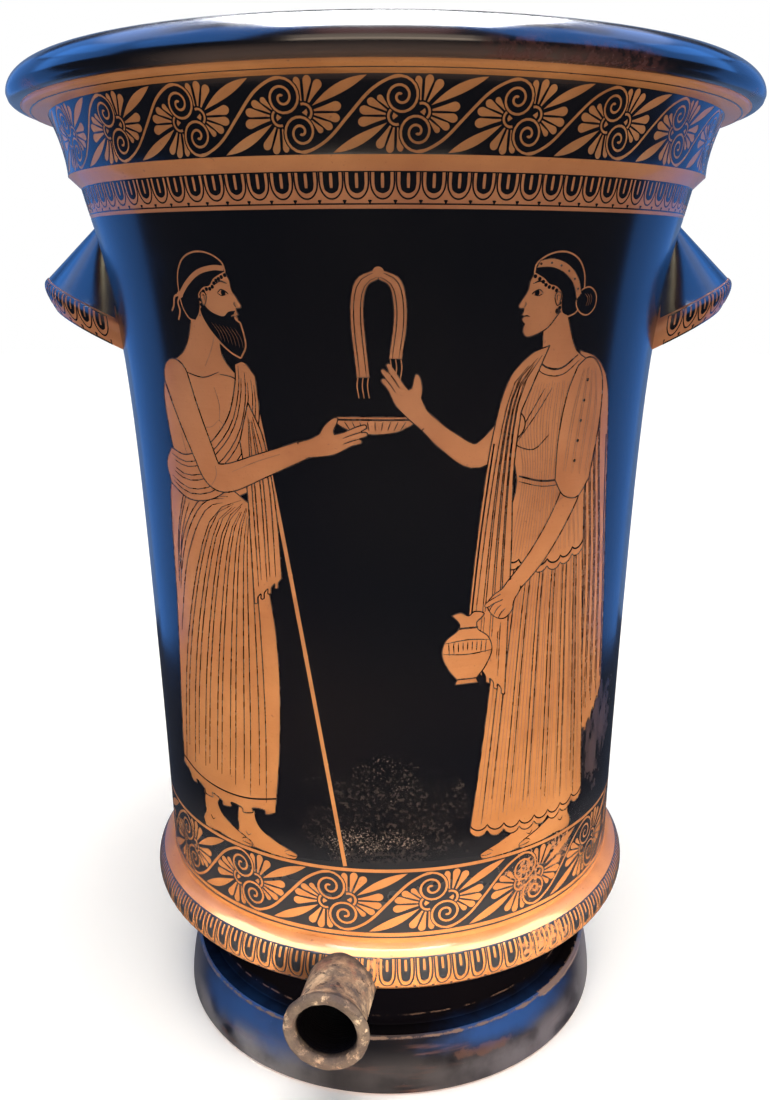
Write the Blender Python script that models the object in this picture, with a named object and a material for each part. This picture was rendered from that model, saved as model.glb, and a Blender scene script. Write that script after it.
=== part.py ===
"""A kalathos: a tall, gently flaring vessel of fired clay for mixing and drawing off wine.

One fired piece: a turned body on a ring foot, two solid lugs luted to the wall below the collar, and a
short drain spout luted to the base. The whole body is turned about +Z, with the origin in the middle of
the resting plane. The lugs point along +X and -X, and the spout points to the front, towards -Y.
"""

import math

import bmesh
import bpy

# ---- driving dimensions, in metres ----
HEIGHT = 0.525
TURN_STEPS = 60  # facets round the body
COLLAR_FOOT_Z = 0.4574  # lower edge of the collar, where the plain wall starts
WALL_FOOT_Z = 0.1012  # where the wall meets the base moulding
WALL_FOOT_R = 0.1324
WALL_TAPER = 0.0110  # how much the wall widens on its way up
WALL_FLARE = 0.0120  # extra widening, nearly all in the top quarter
TAPER_POWER = 1.25
FLARE_POWER = 7.2
WALL_THICK = 0.0070

RIM_R = 0.1900
RIM_CREST_R = 0.1705  # radius of the highest ring of the rim
RIM_LEDGE_Z = 0.5070  # lowest ring of the rim
RIM_SPREAD_Z = 0.5118  # height where the rim is widest
MOUTH_R = 0.1600  # inside of the mouth
FILLET_TOP_R = 0.1834  # the plain quarter-round moulding under the rim
FILLET_R = 0.1724
FILLET_Z = 0.5036
CORNICE_R = 0.1644  # lower end of the hollow-curved cornice
CORNICE_Z = 0.4756
BEVEL_R = 0.1585  # plain bevel under the cornice
BEVEL_Z = 0.4699

BASE_R = 0.1426  # the round moulding at the base of the wall
BASE_Z = 0.0869
BASE_HALF = 0.0134
WAIST_R = 0.1112  # the recess between the body and the foot
WAIST_TOP_Z = 0.0560
FOOT_TOP_R = 0.1210
FOOT_TOP_Z = 0.0335
FOOT_BELLY_R = 0.1250
FOOT_R = 0.1265
RING_OUT_R = 0.1240  # the ring that the vessel stands on
RING_IN_R = 0.1130
HOLLOW_TOP_Z = 0.0500  # ceiling of the hollow under the foot
FLOOR_Z = 0.0670  # floor inside the vessel
FLOOR_ROUND = 0.0240  # radius between the floor and the wall, inside

LUG_TILT = math.radians(25.0)  # the lug's mouth rises outwards by this angle
LUG_DISH = 0.0050  # depth of the hollow under the lug

SPOUT_TURN = math.radians(-9.5)  # off the middle of the front, to the left
SPOUT_Z = 0.0794
SPOUT_END = 0.1770  # from the vessel's axis to the spout's lip
SPOUT_R = 0.0174
SPOUT_LIP_R = 0.0214
BORE_R = 0.0154

CLAY_BLACK = (0.012, 0.013, 0.020, 1.0)


def arc(centre_r, centre_z, radius_r, radius_z, start, stop, steps):
    """Points on an ellipse from one angle to another, in degrees, both ends included."""
    points = []
    for step in range(steps + 1):
        angle = math.radians(start + (stop - start) * step / steps)
        points.append((centre_r + radius_r * math.cos(angle), centre_z + radius_z * math.sin(angle)))
    return points


def wall_radius(z):
    """Outer radius of the plain wall: a slow taper with a flare at the top."""
    rise = (z - WALL_FOOT_Z) / (COLLAR_FOOT_Z - WALL_FOOT_Z)
    rise = min(max(rise, 0.0), 1.0)
    return WALL_FOOT_R + WALL_TAPER * rise**TAPER_POWER + WALL_FLARE * rise**FLARE_POWER


def foot_points():
    """Underside and outside of the foot, from the axis outwards and then up to the waist."""
    points = [(0.0, HOLLOW_TOP_Z), (0.086, HOLLOW_TOP_Z), (0.1000, 0.0420), (0.1060, 0.0120)]
    points += [(RING_IN_R, 0.0), (RING_OUT_R, 0.0), (FOOT_R - 0.0005, 0.0012), (FOOT_R, 0.0040)]
    points += [(FOOT_BELLY_R, 0.0165), (FOOT_BELLY_R - 0.0020, 0.0260)]
    points += [(FOOT_TOP_R + 0.0008, FOOT_TOP_Z - 0.0016), (FOOT_TOP_R - 0.0010, FOOT_TOP_Z)]
    points += [(WAIST_R + 0.0025, FOOT_TOP_Z + 0.0015), (WAIST_R, FOOT_TOP_Z + 0.0060)]
    return points


def base_points():
    """Waist and round moulding, up to the foot of the wall."""
    middle_r = BASE_R - BASE_HALF
    points = [(WAIST_R, WAIST_TOP_Z), (WAIST_R + 0.0060, WAIST_TOP_Z + 0.0080)]
    points += arc(middle_r, BASE_Z, BASE_HALF, BASE_HALF, -80, 75, 8)
    return points


def wall_points(steps=8):
    """The plain wall, with its points drawn together where it flares."""
    span = COLLAR_FOOT_Z - WALL_FOOT_Z
    heights = [WALL_FOOT_Z + span * math.sin(math.radians(90.0 * k / steps)) for k in range(steps + 1)]
    return [(wall_radius(z), z) for z in heights]


def collar_points():
    """Echinus band, plain bevel and hollow-curved cornice, up to the moulding under the rim."""
    points = [(BEVEL_R, BEVEL_Z), (CORNICE_R, CORNICE_Z)]
    height = FILLET_Z - CORNICE_Z
    spread = FILLET_R - 0.0008 - CORNICE_R
    for step in range(1, 5):
        rise = step / 4
        points.append((CORNICE_R + spread * rise**1.7, CORNICE_Z + height * rise))
    points += arc(FILLET_R, RIM_LEDGE_Z, FILLET_TOP_R - FILLET_R, RIM_LEDGE_Z - FILLET_Z - 0.0002, -90, 0, 3)
    return points


def rim_points():
    """Rounded underside, round outside and the roll into the mouth."""
    points = arc(RIM_R - 0.0060, RIM_SPREAD_Z, 0.0060, RIM_SPREAD_Z - RIM_LEDGE_Z, -90, -30, 3)
    points += arc(RIM_CREST_R, RIM_SPREAD_Z, RIM_R - RIM_CREST_R, HEIGHT - RIM_SPREAD_Z, 0, 90, 7)
    roll_z = 0.0110
    points += arc(RIM_CREST_R, HEIGHT - roll_z, RIM_CREST_R - MOUTH_R, roll_z, 112.5, 180, 3)
    return points


def inside_points():
    """Inside of the vessel, from the mouth down to the middle of the floor."""
    inner_r = WALL_FOOT_R - WALL_THICK
    points = [(0.1580, 0.4920), (0.1530, 0.4700)]
    for z in (0.4450, 0.4150, 0.3700, 0.3000, 0.2000):
        points.append((wall_radius(z) - WALL_THICK, z))
    points += arc(inner_r - FLOOR_ROUND, FLOOR_Z + FLOOR_ROUND, FLOOR_ROUND, FLOOR_ROUND, 0, -90, 5)
    points.append((0.0, FLOOR_Z))
    return points


def mesh_object(name, bm):
    """A scene object from a bmesh whose doubles are merged and whose faces point outwards."""
    bmesh.ops.remove_doubles(bm, verts=bm.verts, dist=1e-6)
    bmesh.ops.recalc_face_normals(bm, faces=bm.faces)
    mesh = bpy.data.meshes.new(name)
    bm.to_mesh(mesh)
    bm.free()
    obj = bpy.data.objects.new(name, mesh)
    bpy.context.scene.collection.objects.link(obj)
    return obj


def turned(name, profile, steps=TURN_STEPS):
    """A solid turned about +Z from a profile whose two ends lie on the axis."""
    bm = bmesh.new()
    points = [bm.verts.new((r, 0.0, z)) for r, z in profile]
    edges = [bm.edges.new(pair) for pair in zip(points, points[1:])]
    bmesh.ops.spin(bm, geom=points + edges, cent=(0, 0, 0), axis=(0, 0, 1), angle=math.tau, steps=steps)
    return mesh_object(name, bm)


def lug_levels():
    """Sections of the lug, from its tip at the collar, over the rounded edge and into the dish below.

    Each is (radius of its root, height of its root, reach along the mouth's tilt, half width).
    """
    tip = (0.1495, 0.4579, 0.0030, 0.0040)
    edge_top = (0.1400, 0.4060, 0.0494, 0.0380)
    edge_belly = (0.1378, 0.3990, 0.0545, 0.0412)
    edge_foot = (0.1375, 0.3905, 0.0492, 0.0400)
    levels = [tip]
    for step in range(1, 4):
        levels.append(tuple(a + (b - a) * step / 3 for a, b in zip(tip, edge_top)))
    for step in range(1, 7):
        t = step / 6
        weights = ((1 - t) * (1 - 2 * t), 4 * t * (1 - t), t * (2 * t - 1))
        rings = (edge_top, edge_belly, edge_foot)
        levels.append(tuple(sum(w * ring[k] for w, ring in zip(weights, rings)) for k in range(4)))
    root_r, root_z, reach, half = edge_foot
    levels.append((root_r + 0.0010, root_z + LUG_DISH * 0.2, reach - 0.0100, half - 0.0060))
    levels.append((root_r + 0.0020, root_z + LUG_DISH, reach - 0.0200, half - 0.0120))
    return levels


def lug_section(level, side, steps=12):
    """One closed ring of the lug: a half ellipse outside, and a back that follows the wall inside it."""
    root_r, root_z, reach, half = level
    ring = []
    for step in range(steps + 1):
        angle = math.radians(-90 + 180 * step / steps)
        out = reach * math.cos(angle)
        x = root_r + out * math.cos(LUG_TILT)
        ring.append((side * x, half * math.sin(angle), root_z + out * math.sin(LUG_TILT)))
    back_r = wall_radius(root_z) - 0.0035
    for share in (0.9, 0.45, 0.0, -0.45, -0.9):
        y = half * share
        ring.append((side * math.sqrt(back_r**2 - y**2), y, root_z))
    return ring


def lug(name, side):
    """A solid lug, lofted through its sections and capped at both ends."""
    bm = bmesh.new()
    rings = [[bm.verts.new(point) for point in lug_section(level, side)] for level in lug_levels()]
    for low, high in zip(rings, rings[1:]):
        count = len(low)
        for k in range(count):
            bm.faces.new((low[k], low[(k + 1) % count], high[(k + 1) % count], high[k]))
    bm.faces.new(rings[0])
    bm.faces.new(rings[-1])
    bmesh.ops.triangulate(bm, faces=[face for face in bm.faces if len(face.verts) > 4])
    return mesh_object(name, bm)


def spout_frame(obj):
    """Lays a solid built along +Z so that it points out of the vessel along the spout."""
    obj.rotation_euler = (math.radians(90), 0.0, SPOUT_TURN)
    obj.location = (0.0, 0.0, SPOUT_Z)
    return obj


def spout_tube(name, steps=24):
    """Outside of the spout: a tube with a short flared lip, whose root ends inside the vessel's wall."""
    stations = [(SPOUT_R, None), (SPOUT_R, SPOUT_END - 0.0130), (SPOUT_R + 0.0012, SPOUT_END - 0.0070)]
    stations += [(SPOUT_LIP_R, SPOUT_END - 0.0018), (SPOUT_LIP_R - 0.0008, SPOUT_END)]
    bm = bmesh.new()
    rings = []
    for radius, distance in stations:
        ring = []
        for step in range(steps):
            angle = math.tau * step / steps
            x = radius * math.cos(angle)
            y = radius * math.sin(angle)
            root_r = min(0.1300, 0.1080 + 1.35 * (y + SPOUT_R))
            ring.append(bm.verts.new((x, y, distance or math.sqrt(root_r**2 - x**2))))
        rings.append(ring)
    for low, high in zip(rings, rings[1:]):
        for k in range(steps):
            bm.faces.new((low[k], low[(k + 1) % steps], high[(k + 1) % steps], high[k]))
    bm.faces.new(rings[0])
    bm.faces.new(rings[-1])
    bmesh.ops.triangulate(bm, faces=[face for face in bm.faces if face.verts[0] in rings[0]])
    return spout_frame(mesh_object(name, bm))


def spout_bore(name):
    """The spout's bore, from inside the vessel to past the lip."""
    start = 0.0900
    stop = SPOUT_END + 0.01
    return spout_frame(turned(name, [(0.0, start), (BORE_R, start), (BORE_R, stop), (0.0, stop)], 24))


def combine(body, other, operation):
    """Adds an exact Boolean with a helper that is neither rendered nor built."""
    other.hide_render = True
    other.display_type = "WIRE"
    modifier = body.modifiers.new(other.name, "BOOLEAN")
    modifier.object = other
    modifier.operation = operation
    modifier.solver = "EXACT"


def clay_material():
    """Fired clay under a black gloss slip."""
    material = bpy.data.materials.new("black_gloss_clay")
    material.use_nodes = True
    shader = material.node_tree.nodes["Principled BSDF"]
    shader.inputs["Base Color"].default_value = CLAY_BLACK
    shader.inputs["Roughness"].default_value = 0.22
    shader.inputs["Metallic"].default_value = 0.0
    return material


def main():
    for obj in list(bpy.data.objects):
        bpy.data.objects.remove(obj)
    profile = foot_points() + base_points() + wall_points() + collar_points() + rim_points()
    profile += inside_points()
    body = turned("kalathos", profile)
    combine(body, lug("lug_left", -1), "UNION")
    combine(body, lug("lug_right", 1), "UNION")
    combine(body, spout_tube("spout_tube"), "UNION")
    combine(body, spout_bore("spout_bore"), "DIFFERENCE")
    body.data.materials.append(clay_material())
    body.data.shade_smooth()
    body.data.set_sharp_from_angle(angle=math.radians(35))


main()
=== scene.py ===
# %% [markdown]
# # A red-figure kalathos
# A tall clay vessel for mixing and drawing off wine: one turned body on a ring foot, two solid lugs and a
# short drain spout. The potter's work is fired clay. The painter's work is a film of black slip a tenth of
# a millimetre thick, laid everywhere except where the orange clay is left bare as figures and ornament.
# This notebook keeps that order. The clay is turned first, then each painted zone is drawn flat, as on an
# unrolled sheet, and laid on the clay as a thin closed skin of its own.

# %% The measured frame
import math

import bmesh
import bpy
import numpy as np
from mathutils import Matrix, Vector, noise
from mathutils.geometry import delaunay_2d_cdt


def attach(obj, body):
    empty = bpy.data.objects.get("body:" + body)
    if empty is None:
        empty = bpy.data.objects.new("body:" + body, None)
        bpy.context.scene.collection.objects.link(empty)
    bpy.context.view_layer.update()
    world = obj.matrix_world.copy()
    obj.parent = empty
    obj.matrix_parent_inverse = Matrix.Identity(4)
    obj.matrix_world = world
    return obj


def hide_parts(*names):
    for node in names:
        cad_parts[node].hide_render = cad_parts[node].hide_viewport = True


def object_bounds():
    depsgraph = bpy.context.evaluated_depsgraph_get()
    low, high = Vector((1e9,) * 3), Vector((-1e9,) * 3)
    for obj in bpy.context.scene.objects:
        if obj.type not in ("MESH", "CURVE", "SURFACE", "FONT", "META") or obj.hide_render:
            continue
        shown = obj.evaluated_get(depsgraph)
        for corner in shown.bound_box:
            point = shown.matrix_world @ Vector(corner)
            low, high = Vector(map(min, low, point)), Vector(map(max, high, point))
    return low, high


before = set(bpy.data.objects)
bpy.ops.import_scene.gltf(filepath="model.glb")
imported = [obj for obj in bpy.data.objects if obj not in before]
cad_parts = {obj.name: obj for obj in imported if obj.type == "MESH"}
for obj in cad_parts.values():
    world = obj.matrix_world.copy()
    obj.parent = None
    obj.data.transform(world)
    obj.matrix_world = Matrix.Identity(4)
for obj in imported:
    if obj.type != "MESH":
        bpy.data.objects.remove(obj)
cad_low, cad_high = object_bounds()
HEIGHT = cad_high.z
RIM_R = cad_high.y
print(f"vessel {HEIGHT:.3f} m high, {2 * RIM_R:.3f} m across the rim")

# %% [markdown]
# ## The camera
# The vessel is seen from a little above, at arm's length, as in a museum case. The camera stands in front
# of the spout's side and looks down by some fifteen degrees, so the mouth shows as a thin ellipse and the
# wall narrows towards the foot. A lens of 35 mm at this distance gives the strong taper of a close view.

# %% Camera
def in_scene(name, data):
    """A new object that shows the data, linked to the scene."""
    obj = bpy.data.objects.new(name, data)
    bpy.context.scene.collection.objects.link(obj)
    return obj


EYE = Vector((0.0085, -0.6030, 0.4362))
LOOK_DOWN = math.radians(15.29)

camera_data = bpy.data.cameras.new("eye")
camera_data.lens = 34.8
camera_data.sensor_width = 36.0
camera_data.shift_x = -0.0172
camera_data.clip_start = 0.02
camera = in_scene("eye", camera_data)
camera.location = EYE
camera.rotation_euler = (math.radians(90.0) - LOOK_DOWN, 0.0, 0.0)
bpy.context.scene.camera = camera
print(f"camera {EYE.length:.2f} m from the foot, looking down {math.degrees(LOOK_DOWN):.1f} degrees")

# %% [markdown]
# ## Light
# Black gloss shows its form only by what it mirrors, so most panels work by reflection alone. A wide one
# overhead whitens the rim, warm ones in front brown the cornice, and tall cool ones draw the blue edges down
# both flanks. A weak sun and three narrow panels in front only model the form. Three golden glow panels are
# linked to the bare clay, where they draw one bright line along the base moulding. The background is a plain
# pale tone that only the camera sees.

# %% Lights, floor and background
def panel_light(name, place, target, size, power, colour, work="both", spread=180.0):
    """A rectangular soft light at a place, turned towards a target. It may work by reflection only, as a
    card beside the vessel does, or only for modelling."""
    data = bpy.data.lights.new(name, "AREA")
    data.shape = "RECTANGLE"
    data.size, data.size_y = size
    data.energy = power
    data.color = colour
    data.spread = math.radians(spread)
    light = in_scene(name, data)
    light.location = place
    light.rotation_euler = (Vector(target) - Vector(place)).to_track_quat("-Z", "Y").to_euler()
    light.visible_diffuse = work != "reflection"
    light.visible_glossy = work != "modelling"
    return light


MIDDLE = (0.0, 0.0, 0.55 * HEIGHT)
WARM = (1.0, 0.90, 0.76)
UMBER = (1.0, 0.42, 0.36)
TAN = (1.0, 0.80, 0.62)
COOL = (0.075, 0.32, 1.0)
STEEL = (0.30, 0.52, 1.0)
PALE = (0.46, 0.56, 0.90)
WHITE = (0.96, 0.97, 1.0)
GOLD = (1.0, 0.90, 0.55)
panel_light("ceiling", (0.0, 0.34, 1.75), (0.0, 0.34, 0.0), (0.95, 1.7), 300.0, WHITE, "reflection")
panel_light("warm_front", (0.0, -1.40, 0.92), MIDDLE, (1.2, 0.72), 6.4, TAN, "reflection")
panel_light("warm_high", (0.0, -1.05, 1.50), MIDDLE, (0.8, 0.6), 2.1, UMBER, "reflection")
panel_light("low_front", (0.40, -1.30, 0.16), (0.01, 0.0, 0.09), (0.5, 0.2), 0.23, WARM, "modelling", 28.0)
panel_light("mid_front", (0.10, -1.35, 0.25), (0.02, 0.0, 0.19), (0.5, 0.2), 0.35, WARM, "modelling", 26.0)
panel_light("egg_beam", (0.25, -1.30, 0.06), (0.0, 0.0, 0.055), (0.6, 0.06), 0.42, WARM, "modelling", 10.0)
panel_light("warm_near", (0.0, -0.45, 0.536), (0.0, 0.0, 0.520), (0.32, 0.09), 0.26, TAN, "reflection")

SIDE_PANELS = (  # name, place and target on the right side, size, power and colour
    ("cool_flank", (1.38, 0.86, 0.40), MIDDLE, (1.15, 1.6), 6.2, COOL),
    ("cool_back", (0.72, 1.50, 0.45), MIDDLE, (0.9, 1.6), 2.2, STEEL),
    ("cool_front", (0.84, -0.56, 1.42), (0.16, 0.0, 0.43), (0.8, 1.2), 12.0, COOL),
    ("cool_side", (1.25, 0.05, 0.95), MIDDLE, (0.9, 0.9), 6.0, COOL),
    ("cool_high", (1.20, 0.45, 1.55), MIDDLE, (1.3, 0.8), 7.0, COOL),
    ("pale_high", (0.85, 0.50, 1.75), MIDDLE, (1.5, 0.6), 6.0, PALE),
)
for side, side_name in ((-1, "left"), (1, "right")):
    for name, place, target, size, power, colour in SIDE_PANELS:
        place, target = ((side * x, y, z) for x, y, z in (place, target))
        panel_light(f"{name}_{side_name}", place, target, size, power, colour, "reflection")

GLOW_PANELS = (  # name, place, target, size and power
    ("clay_glow_front", (0.0, -0.78, 1.36), (0.0, -0.15, 0.09), (1.6, 0.7), 98.0),
    ("clay_glow_left", (-1.20, -0.50, 1.20), (-0.12, -0.09, 0.09), (1.2, 0.9), 125.0),
    ("clay_glow_right", (1.20, -0.50, 1.20), (0.12, -0.09, 0.09), (1.2, 0.9), 115.0),
)
clay_glows = [panel_light(*panel, GOLD, "reflection") for panel in GLOW_PANELS]

daylight = bpy.data.lights.new("daylight", "SUN")
daylight.energy = 3.6
daylight.angle = math.radians(30.0)
daylight.color = (1.0, 0.95, 0.88)
sun = in_scene("daylight", daylight)
sun.rotation_euler = Vector((-0.05, 0.22, -0.97)).to_track_quat("-Z", "Y").to_euler()
sun.visible_glossy = False

world = bpy.data.worlds.new("studio")
bpy.context.scene.world = world
world.use_nodes = True
sky = world.node_tree
sky.nodes["Background"].inputs["Color"].default_value = (0.60, 0.70, 1.0, 1.0)
sky.nodes["Background"].inputs["Strength"].default_value = 0.07
seen = sky.nodes.new("ShaderNodeBackground")
seen.inputs["Color"].default_value = (1.0, 1.0, 1.0, 1.0)
choice = sky.nodes.new("ShaderNodeMixShader")
rays = sky.nodes.new("ShaderNodeLightPath")
sky.links.new(rays.outputs["Is Camera Ray"], choice.inputs["Fac"])
sky.links.new(sky.nodes["Background"].outputs[0], choice.inputs[1])
sky.links.new(seen.outputs[0], choice.inputs[2])
sky.links.new(choice.outputs[0], sky.nodes["World Output"].inputs["Surface"])
bpy.context.scene.view_settings.view_transform = "Standard"
print(len(bpy.data.lights), "lights")

# %% [markdown]
# ## A short way to wire nodes
# Materials and Geometry Nodes are wired the same way: make a node, set its properties, then fill each
# socket with either a value or a link. One small class does both, so every tree below stays readable.

# %% Node wiring helper
class Net:
    """A node tree under construction."""

    def __init__(self, tree):
        self.tree = tree

    def fill(self, socket, value):
        if isinstance(value, bpy.types.NodeSocket):
            self.tree.links.new(value, socket)
        elif value is not None:
            socket.default_value = value

    def add(self, kind, sockets=(), **settings):
        """A new node with its properties set and its sockets filled, from {socket name or number: value}."""
        node = self.tree.nodes.new(kind)
        for name, value in settings.items():
            setattr(node, name, value)
        for key, value in dict(sockets).items():
            self.fill(node.inputs[key], value)
        return node

    def math(self, operation, *values, clamp=False):
        node = self.add("ShaderNodeMath", enumerate(values), operation=operation, use_clamp=clamp)
        return node.outputs[0]

    def times(self, *values, clamp=False):
        """The product of two or more values, taken from the left."""
        product = values[0]
        for value in values[1:]:
            product = self.math("MULTIPLY", product, value, clamp=clamp)
        return product

    def plus(self, first, second):
        return self.math("ADD", first, second)

    def minus(self, first, second):
        return self.math("SUBTRACT", first, second)

    def parts(self, vector):
        """The parts X, Y and Z of a vector."""
        return self.add("ShaderNodeSeparateXYZ", {0: vector}).outputs

    def vector(self, **parts):
        """A vector from its parts X, Y and Z. A part that isn't given is zero."""
        return self.add("ShaderNodeCombineXYZ", parts).outputs[0]

    def vector_math(self, operation, *values):
        node = self.add("ShaderNodeVectorMath", enumerate(values), operation=operation)
        return node.outputs["Value" if operation in ("LENGTH", "DISTANCE", "DOT_PRODUCT") else "Vector"]


class ShaderNet(Net):
    """A shader tree: a Net with the few nodes that the finishes use most."""

    def place(self):
        """Object coordinates in metres."""
        return self.add("ShaderNodeTexCoord").outputs["Object"]

    def noise(self, vector, scale, detail=3.0, roughness=0.55):
        sockets = {"Vector": vector, "Scale": scale, "Detail": detail, "Roughness": roughness}
        return self.add("ShaderNodeTexNoise", sockets).outputs["Fac"]

    def ramp(self, value, *stops):
        """A colour ramp. Each stop is a position and a grey or a colour."""
        node = self.add("ShaderNodeValToRGB", {"Fac": value})
        elements = node.color_ramp.elements
        for index, (position, colour) in enumerate(stops):
            element = elements[index] if index < len(elements) else elements.new(position)
            element.position = position
            element.color = (colour,) * 3 + (1.0,) if isinstance(colour, float) else tuple(colour) + (1.0,)
        return node.outputs["Color"]

    def span(self, value, low, high, start=0.0, stop=1.0):
        """Maps low..high smoothly to start..stop."""
        sockets = {"Value": value, "From Min": low, "From Max": high, "To Min": start, "To Max": stop}
        node = self.add("ShaderNodeMapRange", sockets, interpolation_type="SMOOTHSTEP")
        return node.outputs["Result"]

    def mix(self, factor, first, second, mode="MIX"):
        node = self.add("ShaderNodeMix", data_type="RGBA", blend_type=mode)
        colours = [value + (1.0,) if isinstance(value, tuple) and len(value) == 3 else value
                   for value in (first, second)]
        for key, value in zip((0, 6, 7), (factor, *colours)):
            self.fill(node.inputs[key], value)
        return node.outputs[2]

    def coat(self, base, mask, share, colour):
        """A colour laid over a base where the mask is, at a share of its full strength."""
        return self.mix(mask if share == 1.0 else self.times(mask, share), base, colour)


def node_group(name, inputs, outputs, kind="ShaderNodeTree"):
    """An empty node group with named sockets. Inputs are {name: (socket type, default or None)}."""
    group = bpy.data.node_groups.new(name, kind)
    for label, (socket_type, default) in inputs.items():
        socket = group.interface.new_socket(label, in_out="INPUT", socket_type=socket_type)
        if default is not None:
            socket.default_value = default
    for label, socket_type in outputs.items():
        group.interface.new_socket(label, in_out="OUTPUT", socket_type=socket_type)
    return group


FLOAT, VECTOR = "NodeSocketFloat", "NodeSocketVector"

# %% [markdown]
# ## Shared surface effects
# Two effects return in every finish. Fired clay is never even: fine grains, a slow drift of tone and faint
# turning lines round the wall. And two and a half thousand years rub and crust the surface in patches: a
# patch is a round area with a ragged edge, broken up by noise, and each finish mixes its own colours by it.

# %% Node groups for grain and worn patches
def fired_grain_group():
    """Grain and tone of fired clay: a fine speckle, a slow mottling and horizontal turning lines."""
    group = node_group(
        "Fired Grain",
        {"Vector": (VECTOR, None), "Grain Size": (FLOAT, 900.0), "Turning": (FLOAT, 1.0)},
        {"Speckle": FLOAT, "Mottle": FLOAT, "Height": FLOAT},
    )
    net = ShaderNet(group)
    given = net.add("NodeGroupInput").outputs
    speckle = net.noise(given["Vector"], given["Grain Size"], 4.0, 0.6)
    mottle = net.noise(given["Vector"], 26.0, 4.0, 0.6)
    ringed = net.vector_math("MULTIPLY", given["Vector"], (12.0, 12.0, 620.0))
    turning = net.times(net.noise(ringed, 1.0, 2.0), given["Turning"])
    height = net.plus(net.times(speckle, 0.5), turning)
    out = net.add("NodeGroupOutput").inputs
    for name, value in (("Speckle", speckle), ("Mottle", mottle), ("Height", height)):
        net.fill(out[name], value)
    return group


def worn_patch_group():
    """A patch round a centre, ragged at its edge and broken up by grain."""
    group = node_group(
        "Worn Patch",
        {
            "Vector": (VECTOR, None),
            "Centre": (VECTOR, None),
            "Shape": (VECTOR, (1.0, 1.0, 1.0)),
            "Reach": (FLOAT, 0.03),
            "Grain": (FLOAT, 300.0),
            "Cover": (FLOAT, 0.5),
        },
        {"Mask": FLOAT},
    )
    net = ShaderNet(group)
    given = net.add("NodeGroupInput").outputs
    from_centre = net.vector_math("SUBTRACT", given["Vector"], given["Centre"])
    stretched = net.vector_math("MULTIPLY", from_centre, given["Shape"])
    distance = net.math("DIVIDE", net.vector_math("LENGTH", stretched), given["Reach"])
    edge = net.times(net.noise(given["Vector"], 70.0, 3.0), 0.9)
    falloff = net.span(net.plus(distance, edge), 1.45, 0.55)
    grain = net.noise(given["Vector"], given["Grain"], 6.0, 0.68)
    limit = net.minus(1.0, net.times(falloff, given["Cover"]))
    crisp = net.times(net.minus(grain, net.times(limit, 0.8)), 9.0, clamp=True)
    mask = net.times(crisp, net.times(falloff, 1.6, clamp=True))
    net.fill(net.add("NodeGroupOutput").inputs["Mask"], mask)
    return group


FIRED_GRAIN = fired_grain_group()
WORN_PATCH = worn_patch_group()


def from_front(degrees, radius, z):
    """A point at an angle round the vessel, counted from the front towards the right."""
    angle = math.radians(degrees - 90.0)
    return (radius * math.cos(angle), radius * math.sin(angle), z)


def new_material(name, roughness, specular=0.5):
    """A material with its Principled BSDF, and a net to wire it with."""
    material = bpy.data.materials.new(name)
    material.use_nodes = True
    shader = material.node_tree.nodes["Principled BSDF"]
    shader.inputs["Roughness"].default_value = roughness
    shader.inputs["Specular IOR Level"].default_value = specular
    return material, ShaderNet(material.node_tree), shader


def grain_node(net, vector, size, turning):
    sockets = {"Vector": vector, "Grain Size": size, "Turning": turning}
    return net.add("ShaderNodeGroup", sockets, node_tree=FIRED_GRAIN).outputs


def patch(net, vector, centre, reach, grain=300.0, cover=0.5, shape=(1.0, 1.0, 1.0)):
    sockets = {"Vector": vector, "Centre": centre, "Shape": shape, "Reach": reach,
               "Grain": grain, "Cover": cover}
    return net.add("ShaderNodeGroup", sockets, node_tree=WORN_PATCH).outputs["Mask"]


def soft_spot(net, vector, centre, reach, shape=(1.0, 1.0, 1.0)):
    """A cloudy spot that fades out."""
    off = net.vector_math("MULTIPLY", net.vector_math("SUBTRACT", vector, centre), shape)
    distance = net.math("DIVIDE", net.vector_math("LENGTH", off), reach)
    uneven = net.times(net.noise(vector, 60.0, 4.0), 0.9)
    return net.span(net.plus(distance, uneven), 1.50, 0.55)


def most(net, masks):
    """The strongest of several masks."""
    strongest = masks[0]
    for mask in masks[1:]:
        strongest = net.math("MAXIMUM", strongest, mask)
    return strongest


def bump(net, height, distance):
    sockets = {"Height": height, "Distance": distance, "Strength": 1.0}
    return net.add("ShaderNodeBump", sockets).outputs["Normal"]


# %% [markdown]
# ## The potter's profile
# The whole vessel follows one line turned about the axis. The line is kept in named stretches, because each
# painted zone lies on one of them: foot, waist, base moulding, wall, collar, cornice, fillet, rim and inside.
# A point on the line is a radius and a height, in metres.

# %% Profile stretches
MM = 0.001
WALL_FOOT_Z, WALL_TOP_Z = 0.1012, 0.4574
WALL_FOOT_R, WALL_TAPER, WALL_FLARE = 0.1324, 0.0110, 0.0120
WALL_THICK = 0.0070
BEVEL_R, BEVEL_Z = 0.1585, 0.4699  # lower edge of the plain bevel, upper edge of the egg band
CORNICE_R, CORNICE_Z = 0.1644, 0.4756  # lower edge of the palmette cornice
FILLET_R, FILLET_Z = 0.1724, 0.5036  # foot of the plain quarter round under the rim
FILLET_TOP_R = 0.1834
RIM_LEDGE_Z, RIM_SPREAD_Z, RIM_CREST_R = 0.5070, 0.5118, 0.1705
MOUTH_R = 0.1600
BASE_R, BASE_Z, BASE_HALF = 0.1426, 0.0869, 0.0134  # the round moulding at the foot of the wall
WAIST_R, WAIST_TOP_Z = 0.1112, 0.0560
FOOT_R, FOOT_BELLY_R, FOOT_TOP_R, FOOT_TOP_Z = 0.1265, 0.1250, 0.1210, 0.0335
FLOOR_Z, FLOOR_ROUND = 0.0670, 0.0240


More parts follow.
